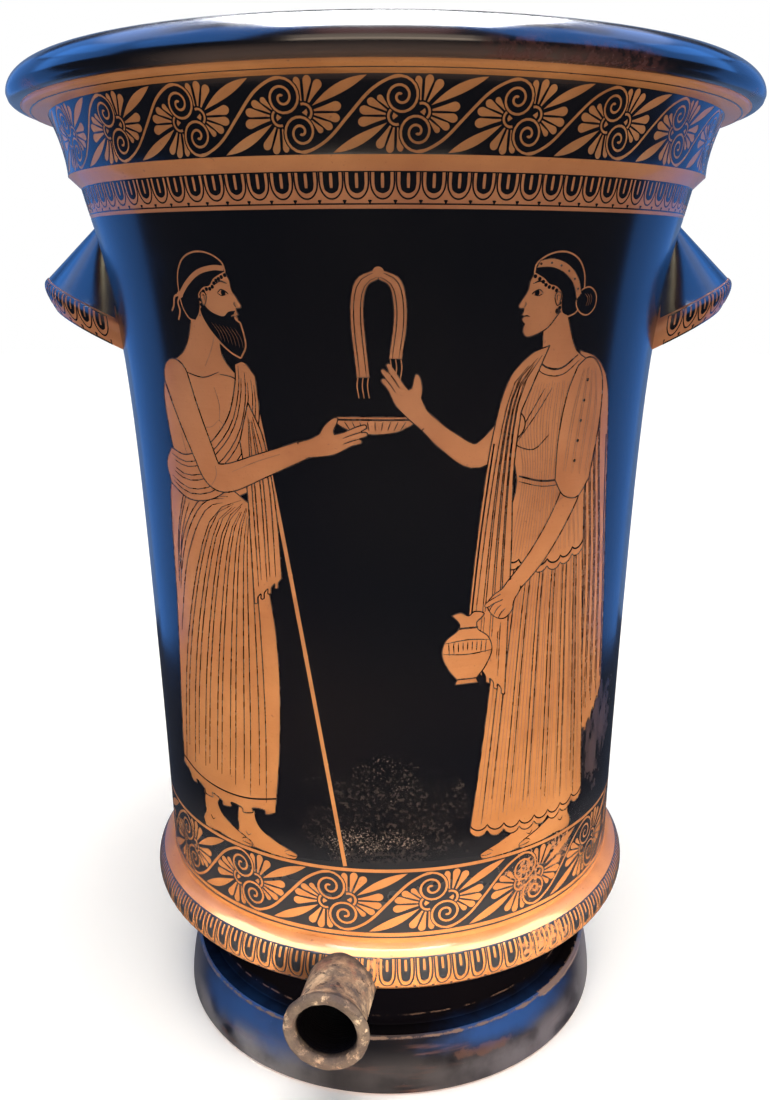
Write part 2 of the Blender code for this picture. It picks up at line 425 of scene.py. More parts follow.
def arc(centre_r, centre_z, radius_r, radius_z, start, stop, steps):
    """Points on an ellipse from one angle to another, in degrees."""
    turns = np.radians(np.linspace(start, stop, steps + 1))
    return [(centre_r + radius_r * math.cos(t), centre_z + radius_z * math.sin(t)) for t in turns]


def rounded(points, steps=5):
    """A smooth line through a few points, as Catmull and Rom draw it."""
    given = np.array(points, float)
    ends = np.vstack([2 * given[0] - given[1], given, 2 * given[-1] - given[-2]])
    line = []
    for a, b, c, d in zip(ends, ends[1:], ends[2:], ends[3:]):
        for t in np.arange(steps) / steps:
            line.append(0.5 * (2 * b + (c - a) * t + (2 * a - 5 * b + 4 * c - d) * t**2
                               + (3 * b - a - 3 * c + d) * t**3))
    return [tuple(p) for p in line] + [tuple(given[-1])]


def wall_radius(z):
    """Outer radius of the plain wall: a slow taper with a flare at the top."""
    rise = min(max((z - WALL_FOOT_Z) / (WALL_TOP_Z - WALL_FOOT_Z), 0.0), 1.0)
    return WALL_FOOT_R + WALL_TAPER * rise**1.25 + WALL_FLARE * rise**7.2


def foot_stretch():
    under = [(0.0, 0.0500), (0.0860, 0.0500), (0.1000, 0.0420),
             (0.1060, 0.0120), (0.1130, 0.0), (0.1240, 0.0)]
    side = rounded([(0.1240, 0.0), (FOOT_R - 0.0005, 0.0012), (FOOT_R, 0.0040), (FOOT_BELLY_R, 0.0165),
                    (FOOT_BELLY_R - 0.0020, 0.0260), (FOOT_TOP_R + 0.0008, FOOT_TOP_Z - 0.0016)], 4)
    return under[:-1] + side


def waist_stretch():
    ledge = [(FOOT_TOP_R - 0.0010, FOOT_TOP_Z), (WAIST_R + 0.0025, FOOT_TOP_Z + 0.0015)]
    neck = rounded([(WAIST_R + 0.0025, FOOT_TOP_Z + 0.0015), (WAIST_R, FOOT_TOP_Z + 0.0060),
                    (WAIST_R, WAIST_TOP_Z), (WAIST_R + 0.0060, WAIST_TOP_Z + 0.0080)], 5)
    return ledge[:1] + neck


def base_stretch(start=-80, stop=75, steps=36):
    return arc(BASE_R - BASE_HALF, BASE_Z, BASE_HALF, BASE_HALF, start, stop, steps)


def wall_stretch(low=WALL_FOOT_Z, high=WALL_TOP_Z, steps=72):
    return [(wall_radius(z), z) for z in np.linspace(low, high, steps + 1)]


def collar_stretch():
    return [(wall_radius(WALL_TOP_Z), WALL_TOP_Z), (BEVEL_R, BEVEL_Z)]


def cornice_stretch(steps=16):
    spread = FILLET_R - 0.0008 - CORNICE_R
    return [(CORNICE_R + spread * t**1.7, CORNICE_Z + (FILLET_Z - CORNICE_Z) * t)
            for t in np.linspace(0.0, 1.0, steps + 1)]


def fillet_stretch(start=-90, stop=0, steps=10):
    return arc(FILLET_R, RIM_LEDGE_Z, FILLET_TOP_R - FILLET_R, RIM_LEDGE_Z - FILLET_Z - 0.0002,
               start, stop, steps)


def rim_stretch():
    under = arc(RIM_R - 0.0060, RIM_SPREAD_Z, 0.0060, RIM_SPREAD_Z - RIM_LEDGE_Z, -90, -30, 6)
    roll = arc(RIM_CREST_R, RIM_SPREAD_Z, RIM_R - RIM_CREST_R, HEIGHT - RIM_SPREAD_Z, 0, 90, 22)
    lip = arc(RIM_CREST_R, HEIGHT - 0.0110, RIM_CREST_R - MOUTH_R, 0.0110, 95, 180, 12)
    return under + roll + lip


def inside_stretch():
    inner = [(0.1580, 0.4920), (0.1530, 0.4700)]
    inner += [(wall_radius(z) - WALL_THICK, z) for z in np.linspace(0.4450, 0.1000, 24)]
    corner_r = WALL_FOOT_R - WALL_THICK - FLOOR_ROUND
    inner += arc(corner_r, FLOOR_Z + FLOOR_ROUND, FLOOR_ROUND, FLOOR_ROUND, 0, -90, 12)
    return inner + [(0.0, FLOOR_Z)]


def drop_doubles(points, nearest=0.02 * MM):
    """The same line without points that lie on the one before."""
    kept = [points[0]]
    for point in points[1:]:
        if math.dist(point, kept[-1]) > nearest:
            kept.append(point)
    return kept


STRETCHES = {
    "foot": foot_stretch(), "waist": waist_stretch(), "base": base_stretch(), "wall": wall_stretch(),
    "collar": collar_stretch(), "cornice": cornice_stretch(), "fillet": fillet_stretch(),
    "rim": rim_stretch(), "inside": inside_stretch(),
}
WHOLE_PROFILE = drop_doubles([point for stretch in STRETCHES.values() for point in stretch])
print(len(WHOLE_PROFILE), "points on the profile")

# %% [markdown]
# ## Finishes
# Bare clay is orange with a soft burnish. The black is a clay slip that sintered in the kiln: almost a
# glass, a little brown where it is thin, with fine streaks from the wheel and the brush. Relief lines are
# the same slip laid thick. Dilute lines are the slip thinned to honey brown. The spout has lost nearly all
# its slip and is stained grey. Constant values sit on the shader itself, and only what changes over the
# surface is wired.

# %% Bare clay
def bare_clay_material():
    material, net, shader = new_material("reserved_clay", 0.42, specular=0.12)
    shader.inputs["Coat Weight"].default_value = 0.40
    shader.inputs["Coat Roughness"].default_value = 0.13
    place = net.place()
    grain = grain_node(net, place, 1100.0, 1.0)
    tone = net.ramp(grain["Mottle"], (0.30, (0.42, 0.160, 0.050)), (0.70, (0.55, 0.228, 0.076)))
    speckled = net.mix(net.span(grain["Speckle"], 0.60, 0.78), tone, (0.31, 0.112, 0.038))
    pits = net.span(net.noise(place, 420.0, 2.0), 0.70, 0.76)
    coloured = net.coat(speckled, pits, 0.6, (0.20, 0.085, 0.045))
    z = net.parts(place)["Z"]
    # Painted light: the clay is tinted rosy from mid wall up to the collar, as cool side light tints it.
    high = net.times(net.span(z, 0.17, 0.40), net.span(z, 0.485, 0.46))
    rosy_painted_light = net.coat(coloured, high, 0.30, (0.44, 0.155, 0.110))
    net.fill(shader.inputs["Base Color"], rosy_painted_light)
    net.fill(shader.inputs["Roughness"], net.span(grain["Mottle"], 0.3, 0.7, 0.34, 0.46))
    net.fill(shader.inputs["Normal"], bump(net, grain["Height"], 0.00012))
    return material


# %% [markdown]
# ## Wear and painted light on the black gloss
# Hands have rubbed the rim red, the slip is bared in patches low on the wall, a crust lies between the
# figures, and the foot's edge is chipped. Light is painted in too: a brown reflection low on the rim's front,
# blue patches and pale flanks on the foot, a lighter grey low on the wall, and near-black shade in the
# recess over the foot. Each of these could be a painted map. Here each is a mask from noise and a place on
# the vessel, so it stays crisp at any distance, and patches of one kind share a table.

# %% Masks of the worn gloss and of painted light
RUBBED_RIM = ((16.0, 0.024), (24.0, 0.027), (31.0, 0.022), (-54.0, 0.014), (62.0, 0.009))  # turn, reach
CRUST = (  # turn, radius and height, then reach, grain, cover and shape
    ((-8.0, 0.137, 0.156), 0.027, 900.0, 0.360, (0.7, 1.0, 1.5)),
    ((3.0, 0.137, 0.159), 0.022, 800.0, 0.350, (0.8, 1.0, 1.4)),
    ((-1.0, 0.137, 0.194), 0.036, 900.0, 0.265, (0.9, 1.0, 1.2)),
    ((53.0, 0.137, 0.222), 0.026, 1200.0, 0.230),
)
BARED = (
    ((33.0, 0.133, 0.126), 0.026, 420.0, 0.420, (0.9, 0.9, 0.8)),
    ((43.0, 0.133, 0.134), 0.020, 420.0, 0.440),
    ((36.0, 0.143, 0.088), 0.026, 330.0, 0.460, (0.6, 0.6, 1.0)),
    ((-3.0, 0.140, 0.092), 0.012, 260.0, 0.440),
)
# Painted reflection: two soft blue patches on the foot. Each is a turn, radius and height, then reach and
# shape.
PAINTED_BLUE_REFLECTION = (((36.0, 0.124, 0.0280), 0.068, (1.0, 1.0, 6.0)), ((-44.0, 0.124, 0.0250), 0.085, (1.0, 1.0, 4.5)))


def spots(net, place, table, kind=patch):
    """The strongest of a table of patches, or of another kind of spot."""
    return most(net, [kind(net, place, from_front(*centre), *rest) for centre, *rest in table])


def streaks(net, place, size, low, high):
    """Horizontal rubs: noise drawn out round the vessel."""
    drawn_out = net.vector_math("MULTIPLY", place, (size, size, 12.0 * size))
    return net.span(net.noise(drawn_out, 1.0, 5.0, 0.66), low, high)


def rim_wear_and_reflection(net, place, axes):
    """Where the rim's slip is rubbed red, and a painted brown reflection low on the rim's front."""
    rubbed = spots(net, place, [((turn, RIM_R, HEIGHT - 0.0170), reach, (1.0, 1.0, 2.8))
                                for turn, reach in RUBBED_RIM], soft_spot)
    z = axes["Z"]
    # Painted reflection: a brown band low on the rim's roll, at the front only.
    in_front = net.times(net.span(z, 0.500, 0.506), net.span(net.math("ABSOLUTE", axes["X"]), 0.105, 0.060))
    thin = net.times(net.span(z, RIM_SPREAD_Z + 0.0004, RIM_SPREAD_Z - 0.0024), in_front)
    return net.times(rubbed, net.span(net.noise(place, 210.0, 5.0, 0.72), 0.34, 0.60)), thin


def foot_wear(net, place, axes):
    """The foot's chipped edge, its rubs and its nicks."""
    z = axes["Z"]
    radius = net.vector_math("LENGTH", net.vector(X=axes["X"], Y=axes["Y"]))
    off_edge = net.vector(X=net.minus(radius, FOOT_TOP_R + 0.0004), Y=net.minus(z, FOOT_TOP_Z - 0.0008))
    ragged = net.times(net.noise(place, 150.0, 5.0, 0.7), 0.0042)
    wide = patch(net, place, from_front(58.0, FOOT_TOP_R, FOOT_TOP_Z), 0.050, 160.0, 0.9)
    reach = net.plus(net.plus(net.vector_math("LENGTH", off_edge), ragged), net.times(wide, -0.0016))
    foot_zone = net.times(net.span(z, 0.034, 0.022), net.span(net.noise(place, 30.0, 2.0), 0.44, 0.62))
    rubs = net.times(streaks(net, place, 22.0, 0.52, 0.66), foot_zone)
    nicks = net.times(net.span(net.noise(place, 330.0, 4.0, 0.7), 0.70, 0.74), net.span(z, 0.045, 0.02))
    return net.span(reach, 0.0030, 0.0024), rubs, nicks


def wall_haze(net, place):
    """A misfired brown patch at the right, and a pale haze low between the figures."""
    brushed = net.noise(net.vector_math("MULTIPLY", place, (150.0, 150.0, 40.0)), 1.0, 5.0, 0.6)
    brown = patch(net, place, from_front(57.0, 0.137, 0.190), 0.034, 90.0, 0.95, (1.0, 1.0, 0.62))
    pale = patch(net, place, from_front(-1.0, 0.137, 0.168), 0.058, 130.0, 0.80, (0.7, 1.0, 1.1))
    broken = net.span(net.noise(place, 420.0, 5.0, 0.7), 0.42, 0.70)
    return net.times(brown, net.span(brushed, 0.36, 0.62)), net.times(pale, broken)


def dust_and_flank_reflection(net, place, axes, colour):
    """Dust low on the foot, lighter towards left and right, and a pale painted reflection down its two
    flanks. Also returns the mask of the flanks.
    """
    x, z = axes["X"], axes["Z"]
    low = net.times(net.span(z, 0.029, 0.010), net.span(net.noise(place, 38.0, 4.0), 0.25, 0.6))
    left = net.mix(net.span(x, -0.02, -0.09), (0.052, 0.045, 0.046), (0.170, 0.165, 0.180))
    dust_and_reflection = net.mix(net.span(x, 0.015, 0.090), left, (0.115, 0.105, 0.122))
    # Painted reflection: pale grey down the foot's left and right flanks.
    flank_reflection = net.times(net.span(net.math("ABSOLUTE", x), 0.104, 0.124), net.span(z, 0.0345, 0.0315))
    dust_and_reflection = net.mix(flank_reflection, dust_and_reflection, (0.250, 0.240, 0.260))
    return net.coat(colour, most(net, [low, flank_reflection]), 0.85, dust_and_reflection), flank_reflection


def wheel_rings(net, place, z):
    """Thin broken rings that the wheel left in the recess above the foot."""
    ledge = net.math("ABSOLUTE", net.plus(z, net.times(net.noise(place, 60.0, 3.0), 0.0022)))
    ring = net.span(net.math("ABSOLUTE", net.minus(ledge, 0.0402)), 0.0006, 0.0003)
    return net.times(ring, net.span(net.noise(place, 130.0, 4.0), 0.46, 0.56))


# %% Black gloss
def gloss_material(name, specular):
    material, net, shader = new_material(name, 0.16, specular)
    place = net.place()
    axes = net.parts(place)
    z = axes["Z"]
    grain = grain_node(net, place, 700.0, 1.0)
    rim, painted_brown_reflection = rim_wear_and_reflection(net, place, axes)
    edge, rubs, nicks = foot_wear(net, place, axes)
    misfired, haze = wall_haze(net, place)
    worn = most(net, [edge, nicks])
    bared = spots(net, place, BARED)
    on_wall = net.span(z, 0.1445, 0.1475)
    crust = net.times(spots(net, place, CRUST), on_wall)
    recess = net.times(net.span(z, 0.080, 0.076), net.span(z, 0.0335, 0.036))
    rings = wheel_rings(net, place, z)

    colour = net.ramp(net.noise(place, 9.0, 3.0), (0.35, (0.0035, 0.0035, 0.0052)),
                      (0.75, (0.0080, 0.0060, 0.0062)))
    for mask, share, coat in (
        (misfired, 0.85, (0.100, 0.056, 0.042)),
        # painted reflection: brown, low on the rim's front
        (painted_brown_reflection, 0.52, (0.150, 0.098, 0.074)),
        (rim, 0.80, (0.125, 0.038, 0.026)),
        (rubs, 0.5, (0.16, 0.060, 0.034)),
        (worn, 1.0, (0.155, 0.098, 0.070)),
    ):
        colour = net.coat(colour, mask, share, coat)
    # Painted light: the black is lightened to a dark grey from the base moulding up to just above the lower
    # palmettes.
    low = net.times(net.minus(net.span(z, 0.165, 0.125), recess), net.span(z, 0.034, 0.090, 0.0, 0.80))
    colour = net.mix(low, colour, (0.040, 0.040, 0.044), "LIGHTEN")
    colour = net.coat(colour, bared, 1.0, (0.47, 0.190, 0.065))
    colour = net.coat(colour, net.times(haze, on_wall), 0.40, (0.075, 0.056, 0.046))
    colour = net.coat(colour, crust, 0.85, (0.29, 0.205, 0.145))
    colour, flank_reflection = dust_and_flank_reflection(net, place, axes, colour)
    rusty = patch(net, place, from_front(26.0, 0.125, 0.0195), 0.038, 120.0, 0.62, (1.0, 1.0, 5.0))
    colour = net.coat(colour, rusty, 0.6, (0.092, 0.044, 0.032))
    # Painted reflection: the two blue patches on the foot, kept off its chipped edge and flanks.
    blue_reflection = net.times(spots(net, place, PAINTED_BLUE_REFLECTION, soft_spot), net.minus(1.0, most(net, [edge, flank_reflection])))
    colour = net.coat(colour, blue_reflection, 0.92, (0.012, 0.045, 0.160))
    colour = net.coat(colour, rings, 0.5, (0.090, 0.055, 0.042))
    # Painted shade: the recess above the foot is laid near-black, except along the wheel rings.
    shade = net.times(recess, net.minus(0.8, net.times(rings, 0.8)))
    net.fill(shader.inputs["Base Color"], net.mix(shade, colour, (0.0010, 0.0008, 0.0013)))

    smooth = net.span(grain["Mottle"], 0.3, 0.72, 0.15, 0.22)
    dull = net.times(most(net, [net.times(rim, 0.4), rubs, edge, crust, misfired, bared, recess]), 0.34)
    low_dull = net.span(z, 0.165, 0.100, 0.0, 0.14)
    net.fill(shader.inputs["Roughness"], net.plus(net.plus(smooth, dull), low_dull))
    relief = net.minus(net.times(grain["Height"], 0.22), worn)
    net.fill(shader.inputs["Normal"], bump(net, relief, 0.00010))
    return material


# %% Painted lines and the spout's clay
def line_material(name, dark, light, roughness):
    """Slip drawn as a line: thicker and thinner, so darker and lighter, along its length."""
    material, net, shader = new_material(name, roughness)
    place = net.place()
    load = net.noise(place, 160.0, 3.0)
    net.fill(shader.inputs["Base Color"], net.ramp(load, (0.30, dark), (0.72, light)))
    net.fill(shader.inputs["Roughness"], net.span(load, 0.3, 0.7, roughness, roughness + 0.12))
    net.fill(shader.inputs["Normal"], bump(net, net.noise(place, 900.0, 2.0), 0.00004))
    return material


SPOUT_TURN = -9.5  # degrees from the front
SPOUT_Z = 0.0794
SPOUT_END = 0.1770
SPOUT_R, SPOUT_LIP_R, BORE_R = 0.0174, 0.0214, 0.0154


def spout_material():
    """Grey-brown clay with pink stains, turning lines round the tube, and painted shade inside the bore."""
    material, net, shader = new_material("bare_spout_clay", 0.7, specular=0.15)
    place = net.place()
    grain = grain_node(net, place, 800.0, 0.0)
    along = net.vector_math("DOT_PRODUCT", place, from_front(SPOUT_TURN, 1.0, 0.0))
    to_side = net.vector_math("DOT_PRODUCT", place, from_front(SPOUT_TURN + 90.0, 1.0, 0.0))
    above = net.minus(net.parts(place)["Z"], SPOUT_Z)
    off_axis = net.vector_math("LENGTH", net.vector(X=to_side, Y=above))
    stain = net.ramp(net.noise(place, 120.0, 6.0, 0.7), (0.46, 0.0), (0.58, 1.0))
    pink = net.span(net.noise(place, 75.0, 4.0, 0.6), 0.56, 0.66)
    remains = net.span(net.noise(place, 190.0, 5.0, 0.7), 0.58, 0.64)
    root = net.span(net.plus(along, net.times(net.noise(place, 140.0, 4.0), 0.016)), 0.155, 0.147)
    lip = net.times(net.span(along, SPOUT_END - 0.0060, SPOUT_END - 0.0030),
                    net.span(net.noise(place, 170.0, 5.0, 0.7), 0.34, 0.48))
    # Painted shade: the inside of the bore is laid near-black.
    painted_bore_shade = net.times(net.span(off_axis, BORE_R + 0.0012, BORE_R + 0.0005),
                       net.span(along, SPOUT_END - 0.0010, SPOUT_END - 0.0060))
    colour = net.ramp(net.noise(place, 55.0, 5.0, 0.65), (0.36, (0.120, 0.086, 0.066)),
                      (0.50, (0.36, 0.240, 0.155)), (0.64, (0.70, 0.520, 0.340)))
    for mask, share, coat in (
        (stain, 0.65, (0.054, 0.054, 0.062)),
        (pink, 0.55, (0.30, 0.14, 0.09)),
        (remains, 0.8, (0.030, 0.024, 0.024)),
        (root, 0.85, (0.034, 0.028, 0.027)),
        (lip, 0.90, (0.072, 0.052, 0.043)),
        (painted_bore_shade, 1.0, (0.0015, 0.0010, 0.0012)),
    ):
        colour = net.coat(colour, mask, share, coat)
    net.fill(shader.inputs["Base Color"], colour)
    rings = net.noise(net.vector(X=net.times(along, 900.0)), 1.0, 2.0)
    height = net.plus(net.plus(grain["Height"], net.noise(place, 260.0, 6.0, 0.7)), rings)
    net.fill(shader.inputs["Normal"], bump(net, height, 0.0006))
    return material


CLAY = bare_clay_material()
GLOSS = gloss_material("black_gloss", 0.62)
# A shaded copy of the black gloss, with no specular reflection, so the waist's recess reads as shade.
SHADED_GLOSS = gloss_material("black_gloss_in_the_recess", 0.0)
RELIEF = line_material("relief_line", (0.012, 0.008, 0.007), (0.050, 0.024, 0.015), 0.22)
DILUTE = line_material("dilute_line", (0.19, 0.070, 0.030), (0.34, 0.140, 0.062), 0.40)
SPOUT_CLAY = spout_material()
FINISHES = (CLAY, GLOSS, SHADED_GLOSS, RELIEF, DILUTE, SPOUT_CLAY)
print("finishes:", ", ".join(finish.name for finish in FINISHES))

# %% [markdown]
# ## The floor
# A plain pale floor carries the shadow of the foot. It is no part of the vessel.

# %% Floor
def make_floor(size=9.0):
    mesh = bpy.data.meshes.new("floor")
    half = size / 2
    corners = [(-half, -half, 0), (half, -half, 0), (half, half, 0), (-half, half, 0)]
    mesh.from_pydata(corners, [], [(0, 1, 2, 3)])
    material, net, shader = new_material("floor_paper", 0.9, specular=0.1)
    shader.inputs["Emission Color"].default_value = (1.0, 1.0, 1.0, 1.0)
    seen_directly = net.add("ShaderNodeLightPath").outputs["Is Camera Ray"]
    net.fill(shader.inputs["Emission Strength"], net.times(seen_directly, 0.30))
    tone = net.noise(net.place(), 3.0, 2.0)
    paper = net.ramp(tone, (0.3, (0.76, 0.76, 0.76)), (0.7, (0.80, 0.80, 0.80)))
    net.fill(shader.inputs["Base Color"], paper)
    mesh.materials.append(material)
    floor = in_scene("floor", mesh)
    floor.visible_glossy = False  # the black gloss mirrors the dark room, not the paper it stands on


make_floor()

# %% [markdown]
# ## Turning, with Geometry Nodes
# A turned shape is a grid bent round the axis: across the grid runs the angle, and along it runs the
# profile. The tree reads the profile's points from a guide curve by their row number, so the corners of the
# mouldings stay exactly where the potter put them. Merging by distance then closes the seam and the poles.

# %% Geometry Nodes: turned body
def guide_curve(name, points):
    """A helper curve in the XZ plane that the trees read. It is removed at the end."""
    data = bpy.data.curves.new(name, "CURVE")
    data.dimensions = "3D"
    spline = data.splines.new("POLY")
    spline.points.add(len(points) - 1)
    for target, (r, z) in zip(spline.points, points):
        target.co = (r, 0.0, z, 1.0)
    return in_scene(name, data)


def turned_tree():
    tree = node_group(
        "Turned On The Wheel",
        {
            "Geometry": ("NodeSocketGeometry", None),
            "Profile": ("NodeSocketObject", None),
            "Steps Round": ("NodeSocketInt", 256),
            "Finish": ("NodeSocketMaterial", None),
        },
        {"Geometry": "NodeSocketGeometry"},
        "GeometryNodeTree",
    )
    net = Net(tree)
    given = net.add("NodeGroupInput").outputs
    profile = net.add("GeometryNodeObjectInfo", {"Object": given["Profile"]}).outputs["Geometry"]
    count = net.add("GeometryNodeAttributeDomainSize", {"Geometry": profile}, component="CURVE").outputs[0]
    across = net.plus(given["Steps Round"], 1.0)
    grid = net.add("GeometryNodeMeshGrid", {"Vertices X": across, "Vertices Y": count})
    place = net.parts(net.add("GeometryNodeInputPosition").outputs[0])
    turn = net.times(net.plus(place["X"], 0.5), math.tau)
    last = net.minus(count, 1.0)
    row = net.math("ROUND", net.times(net.plus(place["Y"], 0.5), last))
    sample = net.add("GeometryNodeSampleIndex", {"Geometry": profile, "Index": row},
                     data_type="FLOAT_VECTOR", domain="POINT")
    net.fill(sample.inputs["Value"], net.add("GeometryNodeInputPosition").outputs[0])
    point = net.parts(sample.outputs["Value"])
    x = net.times(point["X"], net.math("COSINE", turn))
    y = net.times(point["X"], net.math("SINE", turn))
    bent = net.vector(X=x, Y=y, Z=point["Z"])
    moved = net.add("GeometryNodeSetPosition", {"Geometry": grid.outputs["Mesh"], "Position": bent})
    merged = net.add("GeometryNodeMergeByDistance", {"Geometry": moved.outputs[0], "Distance": 0.01 * MM})
    plain = net.add("GeometryNodeRealizeInstances", {"Geometry": merged.outputs[0]})
    finished = net.add("GeometryNodeSetMaterial",
                       {"Geometry": plain.outputs[0], "Material": given["Finish"]})
    net.fill(net.add("NodeGroupOutput").inputs["Geometry"], finished.outputs[0])
    return tree


# %% From a tree to a finished piece
def made_plain(obj):
    """Keeps what the object's modifier makes as a mesh of its own, and removes the modifier."""
    depsgraph = bpy.context.evaluated_depsgraph_get()
    plain = bpy.data.meshes.new_from_object(obj.evaluated_get(depsgraph), preserve_all_data_layers=True,
                                            depsgraph=depsgraph)
    obj.modifiers.clear()
    obj.data = plain
    plain.name = obj.name
    return obj


def with_tree(name, mesh, tree, values):
    """An object made plain: the tree runs over the mesh once."""
    obj = in_scene(name, mesh)
    modifier = obj.modifiers.new(tree.name, "NODES")
    modifier.node_group = tree
    sockets = {item.name: item.identifier for item in tree.interface.items_tree if item.in_out == "INPUT"}
    for key, value in values.items():
        modifier[sockets[key]] = value
    return made_plain(obj)


def finish_piece(piece):
    """Puts a finished piece on the vessel's one body and prints its count of triangles."""
    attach(piece, "root")
    triangles = sum(len(face.vertices) - 2 for face in piece.data.polygons)
    print(f"{piece.name}: {triangles} triangles")
    return piece


# %% [markdown]
# ## The bore
# The potter cut a hole through the wall for the spout. The mesh could be built round the hole, but every
# ring of the profile would then need its own exception. A Boolean with a round bar is simpler, and the same
# bar opens the clay and each skin of slip that lies over it.

# %% The bar that cuts the bore
def along_spout(x, y, distance):
    """A point beside the spout's axis: x to the right and y up, at a distance from the vessel's axis."""
    out = Vector(from_front(SPOUT_TURN, 1.0, 0.0))
    right = Vector(from_front(SPOUT_TURN + 90.0, 1.0, 0.0))
    return out * distance + right * x + Vector((0.0, 0.0, SPOUT_Z + y))


def bore_cutter(steps=48):
    """A round bar along the spout, from inside the vessel to beyond the lip. It is removed at the end."""
    radius = (BORE_R + SPOUT_R) / 2  # the tube lines the hole, so the cut lies inside its wall
    turns = [math.tau * k / steps for k in range(steps)]
    ends = [[along_spout(radius * math.cos(turn), radius * math.sin(turn), distance) for turn in turns]
            for distance in (0.0950, SPOUT_END + 0.01)]
    faces = [tuple(range(steps - 1, -1, -1)), tuple(range(steps, 2 * steps))]
    faces += [(k, (k + 1) % steps, (k + 1) % steps + steps, k + steps) for k in range(steps)]
    mesh = bpy.data.meshes.new("bore")
    mesh.from_pydata([tuple(point) for ring in ends for point in ring], [], faces)
    return in_scene("bore", mesh)


def bore_through(piece):
    """Opens the spout's bore through a piece."""
    modifier = piece.modifiers.new("bore", "BOOLEAN")
    modifier.object = BORE
    modifier.solver = "EXACT"
    made_plain(piece)


TURNED = turned_tree()
BORE = bore_cutter()
print("the bore is", round(2000 * BORE_R), "mm wide inside its tube")

# %% The clay body
STEPS_ROUND = 256
SHARP_EDGE = math.radians(35.0)  # mouldings meet at edges sharper than this


def turned_piece(name, profile, finish, bored=False):
    guide = guide_curve(name + "_guide", profile)
    values = {"Profile": guide, "Steps Round": STEPS_ROUND, "Finish": finish}
    piece = with_tree(name, bpy.data.meshes.new(name), TURNED, values)
    bpy.data.objects.remove(guide)
    if bored:
        bore_through(piece)
    piece.data.shade_smooth()
    piece.data.set_sharp_from_angle(angle=SHARP_EDGE)
    return finish_piece(piece)


clay_body = turned_piece("clay_body", WHOLE_PROFILE, CLAY, bored=True)
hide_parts("kalathos")
lit_clay = bpy.data.collections.new("lit_clay")  # the glow lamps draw their bright line on the bare clay only
lit_clay.objects.link(clay_body)
for lamp in clay_glows:
    lamp.light_linking.receiver_collection = lit_clay

# %% [markdown]
# ## Plain black zones
# Where the black covers everything, the slip is a turned skin as well: the profile is followed just outside
# the clay, and back again just inside it, so the skin is a closed ring.

# %% Plain slip rings
SLIP_RISE = 0.10 * MM  # how far the slip stands above the clay
SLIP_ROOT = 0.15 * MM  # how far its hidden underside lies inside the clay
RELIEF_RISE, DILUTE_RISE = 0.17 * MM, 0.07 * MM  # thick relief lines and thin dilute ones


def outward(points):
    """Unit normals of a profile line, to the right of its direction: away from the clay."""
    line = np.array(points, float)
    along = np.gradient(line, axis=0)
    across = np.stack([along[:, 1], -along[:, 0]], axis=1)
    return across / np.linalg.norm(across, axis=1)[:, None]


def slip_ring_profile(points):
    """A closed outline round a stretch of the profile, as thick as the slip."""
    line = np.array(drop_doubles(points), float)
    normals = outward(line)
    top = line + SLIP_RISE * normals
    under = (line - SLIP_ROOT * normals)[::-1]
    if line[-1][0] < MM:  # a skin that reaches the axis is closed there
        top[-1][0] = under[0][0] = 0.0
        return [tuple(p) for p in [*under, *top]]
    ring = [tuple(p) for p in [*top, *under]]
    return ring + ring[:1]


inside_line = STRETCHES["rim"] + STRETCHES["inside"]
turned_piece("rim_and_inside_gloss", slip_ring_profile(inside_line), GLOSS, bored=True)
turned_piece("fillet_line_gloss", slip_ring_profile(fillet_stretch(-52, -47, 2)), GLOSS)
waist_line = STRETCHES["waist"] + STRETCHES["base"][:5]
turned_piece("waist_gloss", slip_ring_profile(waist_line), SHADED_GLOSS, bored=True)
foot_line = STRETCHES["foot"][9:] + STRETCHES["waist"][:1]  # the resting ring stays bare
turned_piece("foot_gloss", slip_ring_profile(foot_line), GLOSS)

# %% [markdown]
# ## Drawing flat, in millimetres
# The painter's brush is copied by a few functions. A run of points becomes a smooth line, a line becomes a
# stroke with a width, and a limb is a line whose width changes from joint to joint. A drawing is a list of
# outlines in the order they are painted, each with its ink, so a later shape covers an earlier one as paint
# does. A shape may be clipped by another outline, which keeps folds inside their garment.

# %% Drawing tools
INK_LINE = 0.55  # a relief line round a shape
FOLD_LINE = 0.50  # a fold of cloth
THIN_LINE = 0.42  # dilute lines and small details


def path(points, steps=6):
    """A smooth open line through the points."""
    return np.array(rounded(points, steps))


def loop(points, steps=6):
    """A smooth closed outline through the points."""
    given = [tuple(p) for p in points]
    line = np.array(rounded(given[-2:] + given + given[:2], steps))
    return line[2 * steps:-steps - 1]


def shape(*runs, steps=6):
    """A closed outline of smooth runs that meet at corners. Each run starts where the last one ended."""
    pieces = []
    previous = None
    for run in runs:
        points = list(run) if previous is None else [previous, *run]
        pieces.append(path(points, steps) if len(points) > 2 else np.array(points, float))
        previous = tuple(run[-1])
    return np.vstack(pieces)


def across(line):
    """Unit vectors to the left of a line, at each of its points."""
    along = np.gradient(line, axis=0)
    along /= np.maximum(np.linalg.norm(along, axis=1), 1e-9)[:, None]
    return np.stack([-along[:, 1], along[:, 0]], axis=1)


def widened(line, half):
    """The closed outline round a line, from its half width at each point."""
    offset = across(line) * np.broadcast_to(half, len(line))[:, None]
    return np.vstack([line + offset, (line - offset)[::-1]])


def stroke(points, width=INK_LINE, ends=0.35, steps=6):
    """A brush line through the points, thinner at its two ends when ends is under 1."""
    line = path(points, steps) if len(points) > 2 else np.array(points, float)
    if len(line) == 2 and ends < 1.0:
        line = np.linspace(line[0], line[1], 6)
    t = np.linspace(0.0, 1.0, len(line))
    return widened(line, width / 2 * (ends + (1 - ends) * np.sqrt(np.sin(np.pi * t).clip(0))))


